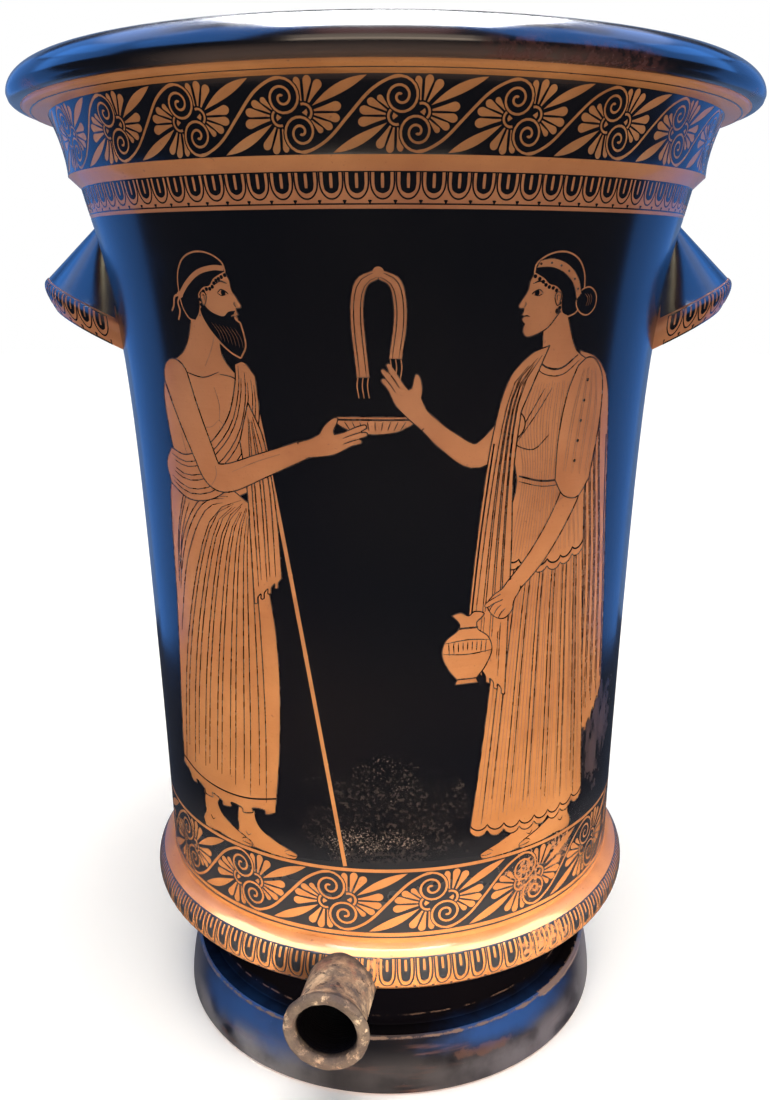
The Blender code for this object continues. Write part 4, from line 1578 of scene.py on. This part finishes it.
def shawl_in_front(drawing):
    """The shawl's other end, from the far shoulder down the front."""
    outline = shape([(10, 257), (20, 253), (30, 241), (36, 214), (41, 170), (45, 118)],
                    zigzag([(45, 118), (35, 102), (23, 92)], 5.6, 3.2),
                    [(23, 130), (23, 165), (24, 200), (22, 228)], [(10, 257)])
    drawing.part(outline)
    drawing.folds(path([(13, 253), (22, 236), (25, 200), (25, 94)]),
                  path([(16, 252), (28, 238), (36, 190), (43, 120)]),
                  spread(0.1, 0.9, 7, 0.3), stop=0.985, clip=outline, sway=0.08)
    drawing.fill("black", widened(path([(34.6, 214), (39.4, 170), (43.2, 124)], 5), 0.4), outline)


def woman_with_jug():
    woman = Drawing()
    foot(woman, -2)
    foot(woman, -26)
    shawl_behind(woman)
    pleated_skirt(woman)
    overfold(woman)
    far_arm = limb([(26, 222, 6.5), (42, 209, 5.8), (56, 216, 4.8), (68, 227, 3.8)])
    woman.part(far_arm)
    open_hand(woman, 67, 226, 50)
    woman.fill("clay", limb([(61, 220.5, 3.2), (71, 231, 3.0)]))
    shawl_in_front(woman)
    face(woman)
    bound_hair(woman)
    ear(woman)
    woman.fill("relief", disc(8.0, 272.0, 1.3, steps=12))
    sleeve = shape([(-8, 247), (-14, 250.5), (-21, 248), (-27, 238), (-28, 218), (-24, 192)],
                   [(-16, 184), (-6, 186), (0, 194)], [(0, 214), (-3, 234), (-8, 247)])
    arm = limb([(-14, 205, 8.0), (-12, 190, 7.0), (-5, 176, 6.0), (8, 158, 5.2), (23, 143, 4.0)])
    woman.part(arm)
    woman.line([(-9, 186), (-4, 184), (0, 180)], ink="dilute")
    woman.part(sleeve)
    woman.folds(path([(-22, 245), (-27, 225), (-24, 192)]), path([(-11, 247), (-5, 225), (-2, 196)]),
                spread(0.10, 0.90, 8, 0.3), 0.0, 0.98, THIN_LINE, "dilute", sleeve, 0.06)
    for k in range(5):
        woman.fill("relief", disc(-15.5 + 0.9 * k, 240 - 9.5 * k, 0.8, steps=8))
    jug(woman, 44, 98)
    grip_hand(woman, 21.5, 144.0, -52)
    woman.fill("clay", limb([(15, 151, 3.5), (24.5, 141.5, 3.2)]))
    return woman


# %% The hanging sash
def hanging_sash(drawing, x, y):
    """A sash that hangs on the wall, folded over a peg."""
    for side, length in ((-1, 46), (1, 38)):
        outer = path([(x, y), (x + side * 9, y - 5), (x + side * 11.5, y - 20),
                      (x + side * 9.5, y - length)], 5)
        inner = path([(x, y - 4.5), (x + side * 4.5, y - 8), (x + side * 6, y - 20),
                      (x + side * 4, y - length)], 5)
        band = np.vstack([outer, inner[::-1]])
        drawing.part(band, 0.4)
        drawing.folds(outer, inner, (0.25, 0.75), width=THIN_LINE)
        for step in range(3):
            end = (x + side * (4.6 + 2.2 * step), y - length)
            tassel = [end, (end[0] + 0.4 * side, end[1] - 4), (end[0] - 0.3 * side, end[1] - 9)]
            drawing.line(tassel, 0.55, "clay", ends=0.8)
    drawing.fill("clay", disc(x, y - 1.5, 2.2))


# %% [markdown]
# ## The back of the vessel
# Nothing of the back can be seen from the front. It is finished in the same hand but plainer, as the second
# side of such a vessel is: two youths wrapped in their mantles, one of them with a staff.

# %% The wrapped youths
def wrapped_youth(with_staff):
    youth = Drawing()
    foot(youth, 2)
    foot(youth, -22)
    if with_staff:
        staff(youth, (46, 232), (52, 0.5))
    youth.part(shape([(1, 272), (-3, 262), (-8, 254), (-14, 246)],
                     [(16, 244), (14.5, 255), (15, 268)], [(1, 272)]))
    rear = [(-10, 254), (-22, 248), (-31, 232), (-34, 200), (-36, 160), (-38, 110), (-41, 60), (-42, 28)]
    hem = zigzag([(-42, 28), (-26, 22), (-8, 20), (10, 21), (26, 26)], 17, 3.2)
    front = [hem[-1], (29, 70), (30, 110), (29, 150), (31, 180), (33, 205), (29, 230), (20, 248)]
    mantle = shape(rear, hem, front[1:], [(12, 243), (2, 244), (-10, 254)])
    youth.part(mantle)
    roll_top = [(-12, 255), (-2, 247), (10, 245), (21, 250)]
    roll_low = [(-18, 251), (-6, 240), (10, 237), (25, 243)]
    youth.folds(path(roll_top), path(roll_low), (0.3, 0.65, 1.0), clip=mantle)
    youth.folds(path([(24, 240), (4, 222), (-14, 190), (-34, 130)]),
                path([(28, 226), (22, 170), (10, 100), (-6, 24)]),
                spread(0.04, 0.9, 8, 0.3), 0.02, 0.96, clip=mantle, sway=0.12)
    youth.folds(path([(30, 200), (27, 150), (26, 90), (22, 26)]),
                path([(32, 190), (29, 150), (30, 90), (26, 26)]),
                (0.3,), 0.05, 0.97, clip=mantle)
    hem_border(youth, [(-44, 31), (-26, 25.5), (-8, 23.5), (10, 24.5), (28, 29)], mantle)
    if with_staff:
        youth.part(limb([(26, 204, 6.2), (36, 203, 4.6)]))
        youth.fill("clay", limb([(22, 205, 5.4), (34, 203, 3.8)]))
        grip_hand(youth, 33, 203, 4)
        youth.fill("clay", limb([(26, 203.8, 3.8), (35, 203.2, 3.4)]))
    face(youth)
    short_hair(youth)
    ear(youth)
    return youth

# %% [markdown]
# ## From a flat drawing to slip on the clay
# A drawing becomes a mesh in one step: the flat sheet is cut into triangles so that every outline is an edge,
# and each triangle takes the ink of the topmost shape over it. The black triangles of the sheet are then
# bent round the vessel by Geometry Nodes. The tree repeats a unit, reads the profile from a guide curve by
# length, bends the sheet to it, and gives the skin its thickness. Edges stay crisp at any distance because
# they are geometry, and the clay shows through where nothing is laid.

# %% Cutting a drawing into triangles
MOST_AT_ONCE = 4_000_000  # point and edge pairs in one batch, so that the memory stays small


def inside(points, outline):
    """True for the points that an outline winds round."""
    x, y = points[:, 0][:, None], points[:, 1][:, None]
    x0, y0 = outline[:, 0][None, :], outline[:, 1][None, :]
    x1, y1 = np.roll(outline[:, 0], -1)[None, :], np.roll(outline[:, 1], -1)[None, :]
    side = (x1 - x0) * (y - y0) - (x - x0) * (y1 - y0)
    winding = ((y0 <= y) & (y1 > y) & (side > 0)).sum(1) - ((y0 > y) & (y1 <= y) & (side < 0)).sum(1)
    return winding != 0


def covered(points, outline):
    """The same test, made only for the points in the outline's box."""
    low, high = outline.min(0), outline.max(0)
    near = np.flatnonzero(((points >= low) & (points <= high)).all(1))
    hit = np.zeros(len(points), bool)
    for batch in np.array_split(near, max(1, len(near) * len(outline) // MOST_AT_ONCE)):
        hit[batch] = inside(points[batch], outline)
    return hit


def refined(outline, longest):
    """The same outline with no edge longer than this, so that every edge can follow the wall's curve."""
    after = np.roll(outline, -1, axis=0)
    runs = []
    for a, b in zip(outline, after):
        count = max(1, math.ceil(math.dist(a, b) / longest))
        runs.append(a + (b - a) * (np.arange(count) / count)[:, None])
    return np.vstack(runs)


# %% The cut sheet
def cut_sheet(drawing, left, right, bottom, top, step, base="clay"):
    """Triangulates a rectangle of the drawing. Returns points, triangles and the ink of each triangle."""
    columns = np.linspace(left, right, max(2, round((right - left) / step) + 1))
    rows = np.linspace(bottom, top, max(2, round((top - bottom) / step) + 1))
    points = [(x, y) for x in columns for y in rows]
    frame_at = [(x, y) for x in (left, right) for y in rows]
    frame_at += [(x, y) for y in (bottom, top) for x in columns]
    edges = []
    for run in np.split(np.arange(len(frame_at)), np.cumsum([len(rows)] * 2 + [len(columns)])):
        edges += [(len(points) + a, len(points) + b) for a, b in zip(run, run[1:])]
    points += frame_at
    kept = []
    for ink, outline, clip in drawing.shapes:
        low, high = outline.min(0), outline.max(0)
        if low[0] < right and high[0] > left and low[1] < top and high[1] > bottom:
            kept.append((ink, outline, clip))
    outlines = [outline for _, outline, _ in kept]
    outlines += {id(clip): clip for _, _, clip in kept if clip is not None}.values()
    for outline in (refined(outline, min(4.0, 1.4 * step)) for outline in outlines):
        first = len(points)
        points += [tuple(p) for p in outline]
        edges += [(first + k, first + (k + 1) % len(outline)) for k in range(len(outline))]
    found = delaunay_2d_cdt([Vector(p) for p in points], edges, [], 0, 1e-4, False)
    vertices = np.array([tuple(v) for v in found[0]], float)
    triangles = np.array([f for f in found[2] if len(f) == 3], int)
    centres = vertices[triangles].mean(1)
    slack = 1e-6
    held = ((centres > (left - slack, bottom - slack)) & (centres < (right + slack, top + slack))).all(1)
    triangles, centres = triangles[held], centres[held]
    inks = np.full(len(triangles), base, dtype=object)
    for ink, outline, clip in kept:
        hit = covered(centres, outline)
        if clip is not None:
            hit &= covered(centres, clip)
        inks[hit] = ink
    return vertices, triangles, inks


def sheet_mesh(name, vertices, triangles):
    """A flat mesh in metres from a sheet in millimetres."""
    used, index = np.unique(triangles, return_inverse=True)
    flat = np.column_stack([vertices[used] * MM, np.zeros(len(used))])
    mesh = bpy.data.meshes.new(name)
    mesh.from_pydata(flat.tolist(), [], index.reshape(-1, 3).tolist())
    up = np.zeros(len(mesh.polygons) * 3)
    mesh.polygons.foreach_get("normal", up)
    if up[2] < 0:
        mesh.flip_normals()
    return mesh


# %% Geometry Nodes: slip laid on the profile
def laid_slip_tree():
    tree = node_group(
        "Laid Slip",
        {
            "Geometry": ("NodeSocketGeometry", None),
            "Profile": ("NodeSocketObject", None),
            "Unrolled Radius": (FLOAT, 0.15),
            "Unit Width": (FLOAT, 0.05),
            "Units": ("NodeSocketInt", 1),
            "Start Turn": (FLOAT, 0.0),
            "Rise": (FLOAT, SLIP_RISE),
            "Root": (FLOAT, SLIP_ROOT),
            "Finish": ("NodeSocketMaterial", None),
        },
        {"Geometry": "NodeSocketGeometry"},
        "GeometryNodeTree",
    )
    net = Net(tree)
    given = net.add("NodeGroupInput").outputs
    step = net.vector(X=given["Unit Width"])
    row = net.add("GeometryNodeMeshLine", {"Count": given["Units"], "Offset": step}).outputs[0]
    units = net.add("GeometryNodeInstanceOnPoints",
                    {"Points": row, "Instance": given["Geometry"]}).outputs[0]
    flat = net.add("GeometryNodeRealizeInstances", {"Geometry": units}).outputs[0]

    profile = net.add("GeometryNodeObjectInfo", {"Object": given["Profile"]}).outputs["Geometry"]
    place = net.parts(net.add("GeometryNodeInputPosition").outputs[0])
    sample = net.add("GeometryNodeSampleCurve", {"Curves": profile, "Length": place["Y"]}, mode="LENGTH",
                     use_all_curves=True)
    point, along = net.parts(sample.outputs["Position"]), net.parts(sample.outputs["Tangent"])
    turn = net.plus(net.math("DIVIDE", place["X"], given["Unrolled Radius"]), given["Start Turn"])
    cosine, sine = net.math("COSINE", turn), net.math("SINE", turn)

    def bent(radius, height):
        return net.vector(X=net.times(radius, cosine), Y=net.times(radius, sine), Z=height)

    outwards = bent(along["Z"], net.times(along["X"], -1.0))
    stored = net.add("GeometryNodeStoreNamedAttribute",
                     {"Geometry": flat, "Name": "outwards", "Value": outwards}, data_type="FLOAT_VECTOR",
                     domain="POINT").outputs[0]
    on_clay = net.add("GeometryNodeSetPosition",
                      {"Geometry": stored, "Position": bent(point["X"], point["Z"])})
    named = net.add("GeometryNodeInputNamedAttribute", {"Name": "outwards"}, data_type="FLOAT_VECTOR")
    normal = named.outputs["Attribute"]

    def pushed(geometry, distance, selection=None):
        push = net.add("ShaderNodeVectorMath", {0: normal, "Scale": distance}, operation="SCALE").outputs[0]
        return net.add("GeometryNodeSetPosition",
                       {"Geometry": geometry, "Selection": selection, "Offset": push}).outputs[0]

    near = 0.004 * MM
    rooted = pushed(on_clay.outputs[0], net.times(given["Root"], -1.0))
    joined = net.add("GeometryNodeMergeByDistance", {"Geometry": rooted, "Distance": near}).outputs[0]
    raised = net.add("GeometryNodeExtrudeMesh", {"Mesh": joined, "Offset Scale": 0.0, "Individual": False},
                     mode="FACES")
    top = pushed(raised.outputs["Mesh"], net.plus(given["Rise"], given["Root"]), raised.outputs["Top"])
    under = net.add("GeometryNodeFlipFaces", {"Mesh": joined}).outputs[0]
    shell = net.add("GeometryNodeJoinGeometry")
    net.fill(shell.inputs[0], top)
    net.fill(shell.inputs[0], under)
    closed = net.add("GeometryNodeMergeByDistance",
                     {"Geometry": shell.outputs[0], "Distance": near}).outputs[0]
    plain = net.add("GeometryNodeRealizeInstances", {"Geometry": closed}).outputs[0]
    finished = net.add("GeometryNodeSetMaterial", {"Geometry": plain, "Material": given["Finish"]})
    net.fill(net.add("NodeGroupOutput").inputs["Geometry"], finished.outputs[0])
    return tree


LAID_SLIP = laid_slip_tree()
FRONT_TURN = math.radians(-90.0)


def shade_as_clay(piece):
    """Shades a skin with the smooth surface under it, stored by the tree on its points."""
    mesh = piece.data
    flat = np.zeros(len(mesh.vertices) * 3, np.float32)
    mesh.attributes["outwards"].data.foreach_get("vector", flat)
    mesh.shade_smooth()
    mesh.normals_split_custom_set_from_vertices(flat.reshape(-1, 3))
    mesh.attributes.remove(mesh.attributes["outwards"])


def lay(name, mesh, profile, radius, finish, unit_width=0.0, units=1, turn=0.0, rise=SLIP_RISE,
        bored=False):
    """Lays a flat sheet on a stretch of the profile. Its middle faces the front, or turn degrees from it."""
    guide = guide_curve(name + "_guide", drop_doubles(profile))
    start = FRONT_TURN + math.radians(turn)
    values = {
        "Profile": guide, "Unrolled Radius": radius, "Unit Width": unit_width, "Units": units,
        "Start Turn": start, "Rise": rise, "Root": SLIP_ROOT, "Finish": finish,
    }
    piece = with_tree(name, mesh, LAID_SLIP, values)
    bpy.data.objects.remove(guide)
    if bored:
        bore_through(piece)
    shade_as_clay(piece)
    return finish_piece(piece)


def line_length(points):
    steps = np.diff(np.array(points, float), axis=0)
    return float(np.linalg.norm(steps, axis=1).sum())


def mean_radius(points):
    return float(np.mean([r for r, _ in points]))


def ring_band(name, unit, profile, units, step=3.0, turn=0.0, bored=False):
    """The black of one ornament unit laid round the whole vessel, drawn to fit: unit(width, height)."""
    radius = mean_radius(profile)
    width = math.tau * radius / units / MM
    height = line_length(profile) / MM
    print(f"{name}: {units} units of {width:.1f} by {height:.1f} mm")
    points, triangles, inks = cut_sheet(unit(width, height), -width / 2, width / 2, 0.0, height, step)
    mesh = sheet_mesh(name, points, triangles[inks == "black"])
    return lay(name, mesh, profile, radius, GLOSS, width * MM, units, turn, bored=bored)


# %% [markdown]
# ## The ornament bands
# Four bands ring the vessel: palmettes on the cornice and under the figures, and eggs on the collar and
# under the base moulding. Only the count and the stretch of profile differ.

# %% Ornament bands
UPPER_PALMETTES, LOWER_PALMETTES = 23, 16
UPPER_EGGS, LOWER_EGGS = 96, 94
PALMETTE_FOOT_Z, PALMETTE_TOP_Z = 0.1022, 0.1424
EGG_BORDER = 0.0016  # bare strip between the eggs and the black wall


def egg_band_profile():
    low = (wall_radius(WALL_TOP_Z - EGG_BORDER), WALL_TOP_Z - EGG_BORDER)
    return [low] + STRETCHES["collar"]


def upper_eggs(width, height):
    band = Drawing()
    border = EGG_BORDER / MM
    band.add(egg_unit(width, height - border, 0.66, 0.31, 0.13), y=border)
    return band


def lower_palmettes(width, height):
    band = palmette_band(width, height, 3.3, 1.9)
    band.fill("black", box_outline(-width, 0.2, width, 1.1))
    return band


def lower_eggs(width, height):
    return egg_unit(width, height, 0.80, 0.27, 0.15, 0.44, 0.66)


ring_band("upper_palmette_band", lambda width, height: palmette_band(width, height, 0.0, 0.0),
          STRETCHES["cornice"], UPPER_PALMETTES, turn=3.6)
ring_band("upper_egg_band", upper_eggs, egg_band_profile(), UPPER_EGGS)
ring_band("lower_palmette_band", lower_palmettes, wall_stretch(PALMETTE_FOOT_Z, PALMETTE_TOP_Z, 16),
          LOWER_PALMETTES, turn=-11.0)
ring_band("base_egg_band", lower_eggs, base_stretch(-42, 42, 30), LOWER_EGGS, step=1.6, bored=True)

# %% The painted wall
MAN_AT, WOMAN_AT = -88.0, 84.0  # millimetres round the wall from its front line
YOUTHS_AT = (0.372, -0.372)  # shares of the way round
GROUND = 0.4  # the figures' feet above the wall's lower edge

wall_low, wall_high = PALMETTE_TOP_Z, WALL_TOP_Z - EGG_BORDER
wall_profile = wall_stretch(wall_low, wall_high, 72)
WALL_R = mean_radius(wall_profile)
WALL_WIDTH = math.tau * WALL_R / MM
WALL_HEIGHT = line_length(wall_profile) / MM

scene_drawing = Drawing()
scene_drawing.add(man_with_bowl(), x=MAN_AT, y=GROUND)
scene_drawing.add(woman_with_jug(), x=WOMAN_AT, y=GROUND, mirror=True)
hanging_sash(scene_drawing, -2.0, 291.0)
scene_drawing.add(wrapped_youth(True), x=YOUTHS_AT[0] * WALL_WIDTH, y=GROUND)
scene_drawing.add(wrapped_youth(False), x=YOUTHS_AT[1] * WALL_WIDTH, y=GROUND, mirror=True)
points, triangles, inks = cut_sheet(scene_drawing, -WALL_WIDTH / 2, WALL_WIDTH / 2, 0.0, WALL_HEIGHT, 6.0,
                                    "black")
print(f"wall sheet {WALL_WIDTH:.0f} by {WALL_HEIGHT:.0f} mm, {len(triangles)} triangles")

for piece_name, ink, finish, slot, piece_rise in (
    ("scene_gloss", "black", GLOSS, "black_gloss", SLIP_RISE),
    ("scene_relief_lines", "relief", RELIEF, "relief_line", RELIEF_RISE),
    ("scene_dilute_lines", "dilute", DILUTE, "dilute_line", DILUTE_RISE),
):
    sheet = sheet_mesh(piece_name, points, triangles[inks == ink])
    lay(piece_name, sheet, wall_profile, WALL_R, finish, rise=piece_rise)

# %% [markdown]
# ## The lugs
# Each lug is a solid half cone luted to the wall, with its tip under the collar and a rounded edge that
# flares out below. It is a loft through half ellipses, and both of its painted skins are drawn on the same
# surface: one function gives the point at a level of the loft and an angle across it. The flat egg sheet is
# wrapped round the edge by walking along it at its true length, so every egg keeps its width.

# %% Lug surface
LUG_TILT = math.radians(25.0)  # the lug's mouth rises outwards by this angle
LUG_DISH = 0.0050
LUG_TIP = np.array((0.1495, 0.4579, 0.0030, 0.0040))  # root radius, root height, reach and half width
LUG_EDGES = np.array(((0.1400, 0.4060, 0.0494, 0.0380), (0.1378, 0.3990, 0.0545, 0.0412),
                      (0.1375, 0.3905, 0.0492, 0.0400)))


def lug_section(level):
    """The half ellipse at a level: 0 is the tip, 1 to 2 the rounded edge, and up to 3 the dish beneath."""
    if level <= 1.0:
        return LUG_TIP + (LUG_EDGES[0] - LUG_TIP) * level
    t = min(level - 1.0, 1.0)
    weights = np.array(((1 - t) * (1 - 2 * t), 4 * t * (1 - t), t * (2 * t - 1)))
    section = weights @ LUG_EDGES
    deep = max(level - 2.0, 0.0)
    return section + np.array((0.0020, LUG_DISH * deep, -0.0200, -0.0120)) * deep


def lug_point(side, level, angle):
    root_r, root_z, reach, half = lug_section(level)
    out = reach * math.cos(angle)
    return Vector((side * (root_r + out * math.cos(LUG_TILT)), side * half * math.sin(angle),
                   root_z + out * math.sin(LUG_TILT)))


def lug_surface(side, level, angle):
    """Point and outward normal of the lug."""
    point = lug_point(side, level, angle)
    small = 0.01
    down = lug_point(side, level + small, angle) - lug_point(side, level - small, angle)
    round_it = lug_point(side, level, angle + small) - lug_point(side, level, angle - small)
    return point, down.cross(round_it).normalized()


def mesh_piece(name, vertices, faces, finish, sharp):
    """A piece from vertices and faces, with its faces turned outwards."""
    mesh = bpy.data.meshes.new(name)
    mesh.from_pydata([tuple(v) for v in vertices], [], faces)
    bm = bmesh.new()
    bm.from_mesh(mesh)
    bmesh.ops.remove_doubles(bm, verts=bm.verts, dist=0.005 * MM)
    bmesh.ops.recalc_face_normals(bm, faces=bm.faces)
    bm.to_mesh(mesh)
    bm.free()
    mesh.materials.append(finish)
    mesh.shade_smooth()
    mesh.set_sharp_from_angle(angle=math.radians(sharp))
    return finish_piece(in_scene(name, mesh))


def make_lug(name, side, across_steps=48):
    """The lug's clay: a loft, closed at the back inside the wall."""
    levels = [*np.linspace(0.0, 1.0, 22), *np.linspace(1.0, 2.0, 15)[1:], *np.linspace(2.0, 3.0, 6)[1:]]
    rings = []
    for level in levels:
        root_z, half = lug_section(level)[1], lug_section(level)[3]
        front = [lug_point(side, level, t) for t in np.radians(np.linspace(-90.0, 90.0, across_steps + 1))]
        back_r = wall_radius(root_z) - 0.0035
        back = [Vector((side * math.sqrt(back_r**2 - (half * s) ** 2), side * half * s, root_z))
                for s in np.linspace(0.9, -0.9, 8)]
        rings.append(front + back)
    count = len(rings[0])
    faces = [tuple(range(count)), tuple(range((len(rings) - 1) * count, len(rings) * count))]
    for row in range(len(rings) - 1):
        for k in range(count):
            a, b = row * count + k, row * count + (k + 1) % count
            faces.append((a, b, b + count, a + count))
    return mesh_piece(name, [point for ring in rings for point in ring], faces, CLAY, 40.0)


def skin(name, vertices, triangles, surface):
    """A closed skin of black slip from a flat sheet. surface(x, y) gives a point and its normal."""
    used, index = np.unique(triangles, return_inverse=True)
    index = index.reshape(-1, 3)
    found = [surface(x, y) for x, y in vertices[used]]
    tops = [point + normal * SLIP_RISE for point, normal in found]
    roots = [point - normal * SLIP_ROOT for point, normal in found]
    count = len(used)
    faces = [tuple(t) for t in index] + [tuple(t[::-1] + count) for t in index]
    sides = {}
    for a, b in np.vstack([index[:, [0, 1]], index[:, [1, 2]], index[:, [2, 0]]]).tolist():
        sides[(a, b)] = (b, a) not in sides
        if not sides[(a, b)]:
            sides[(b, a)] = False
    faces += [(b, a, a + count, b + count) for (a, b), open_edge in sides.items() if open_edge]
    mesh = bpy.data.meshes.new(name)
    mesh.from_pydata([tuple(p) for p in tops + roots], [], faces)
    if mesh.polygons[0].normal.dot(found[index[0][0]][1]) < 0:
        mesh.flip_normals()
    mesh.materials.append(GLOSS)
    mesh.shade_smooth()
    mesh.normals_split_custom_set_from_vertices([tuple(normal) for _, normal in found] * 2)
    return finish_piece(in_scene(name, mesh))


# %% Lugs and their skins
LUG_EGGS = 14
LUG_BAND = 14.5  # height of the egg band round the lug's edge, in millimetres
LUG_LINE = 1.3  # bare line between the lug's black top and its eggs


def edge_walk(side, level, steps=240):
    """Angles across the lug and the distance walked along its edge, from the middle, in millimetres."""
    angles = np.radians(np.linspace(-90.0, 90.0, steps + 1))
    points = np.array([tuple(lug_point(side, level, t)) for t in angles])
    walked = walk(points)
    return angles, (walked - walked[-1] / 2) / MM


def lug_eggs(name, side):
    """The egg band round the lug's edge."""
    angles, walked = edge_walk(side, 1.4)

    def on_edge(x, y):
        level = 2.0 - y / LUG_BAND
        return lug_surface(side, level, float(np.interp(x, walked, angles)))

    width = (walked[-1] - walked[0]) / (LUG_EGGS + 1.5)
    eggs = Drawing()
    for k in range(LUG_EGGS):
        cell = box_outline(-width / 2, 0, width / 2, LUG_BAND)
        one = Drawing()
        for ink, outline, _ in egg_unit(width, LUG_BAND - LUG_LINE, 0.6).shapes:
            one.fill(ink, outline, cell)
        eggs.add(one, x=(k - (LUG_EGGS - 1) / 2) * width)
    half = LUG_EGGS * width / 2
    vertices, triangles, inks = cut_sheet(eggs, -half, half, 0.0, LUG_BAND - LUG_LINE, 2.0)
    skin(name + "_eggs", vertices, triangles[inks == "black"], on_edge)


def lug_top_skin(name, side, rows=26, columns=44):
    """The black top of the lug, from its tip to just above the egg band."""
    xs = np.linspace(-88.0, 88.0, columns + 1)
    ys = np.linspace(0.02, 1.0 + 0.2 * MM, rows + 1)
    vertices = np.array([(x, y) for y in ys for x in xs])
    triangles = []
    for row in range(rows):
        for k in range(columns):
            a = row * (columns + 1) + k
            triangles += [(a, a + 1, a + columns + 2), (a, a + columns + 2, a + columns + 1)]
    skin(name + "_gloss", vertices, np.array(triangles),
         lambda x, y: lug_surface(side, y, math.radians(x)))


for lug_name, lug_side in (("left_lug", -1), ("right_lug", 1)):
    make_lug(lug_name, lug_side)
    lug_eggs(lug_name, lug_side)
    lug_top_skin(lug_name, lug_side)

# %% [markdown]
# ## The spout
# A short thick tube drains the vessel just above the foot. It was thrown apart and luted over the base
# moulding, its lip is chipped all round, and its slip is nearly gone. It is a turned ring about its own axis,
# roughened by noise and laid along that axis at the end. The clay and the skins it passes through are
# bored by a Boolean, so that one looks through it into the vessel.

# %% Spout
SPOUT_ROOT = 0.1255


def spout_outline():
    """Section of the tube's wall: out along the outside, over the lip and back along the bore."""
    lip = [(SPOUT_R, SPOUT_END - 0.0150), (SPOUT_R + 0.0008, SPOUT_END - 0.0095),
           (SPOUT_LIP_R - 0.0010, SPOUT_END - 0.0048), (SPOUT_LIP_R, SPOUT_END - 0.0022),
           (SPOUT_LIP_R - 0.0012, SPOUT_END)]
    outside = [(SPOUT_R, d) for d in np.linspace(SPOUT_ROOT, SPOUT_END - 0.0150, 16)]
    face = [(r, SPOUT_END + 0.0002) for r in np.linspace(SPOUT_LIP_R - 0.0020, BORE_R + 0.0012, 5)]
    bore = [(BORE_R, d) for d in np.linspace(SPOUT_END - 0.0012, SPOUT_ROOT - 0.004, 14)]
    return outside[:-1] + rounded(lip, 4) + face + bore


def make_spout(steps=96):
    section = spout_outline()
    vertices = []
    for radius, distance in section:
        for k in range(steps):
            turn = math.tau * k / steps
            x, y = radius * math.cos(turn), radius * math.sin(turn)
            place = Vector((x, y, distance))
            near_lip = min(max((distance - SPOUT_END + 0.012) / 0.012, 0.0), 1.0)
            rough = noise.fractal(place * 170.0, 0.8, 2.1, 4) * (0.00016 + 0.00030 * near_lip)
            chip = max(noise.noise(place * 115.0) - 0.22, 0.0) * 0.0032 * near_lip
            scale = (radius + rough - (chip if radius > BORE_R + 0.003 else 0.0)) / radius
            vertices.append(along_spout(x * scale, y * scale, distance - chip * 0.7))
    rows = len(section)
    faces = [(r * steps + k, r * steps + (k + 1) % steps, (r + 1) % rows * steps + (k + 1) % steps,
              (r + 1) % rows * steps + k) for r in range(rows) for k in range(steps)]
    return mesh_piece("spout", vertices, faces, SPOUT_CLAY, 50.0)


make_spout()
bpy.data.objects.remove(BORE)
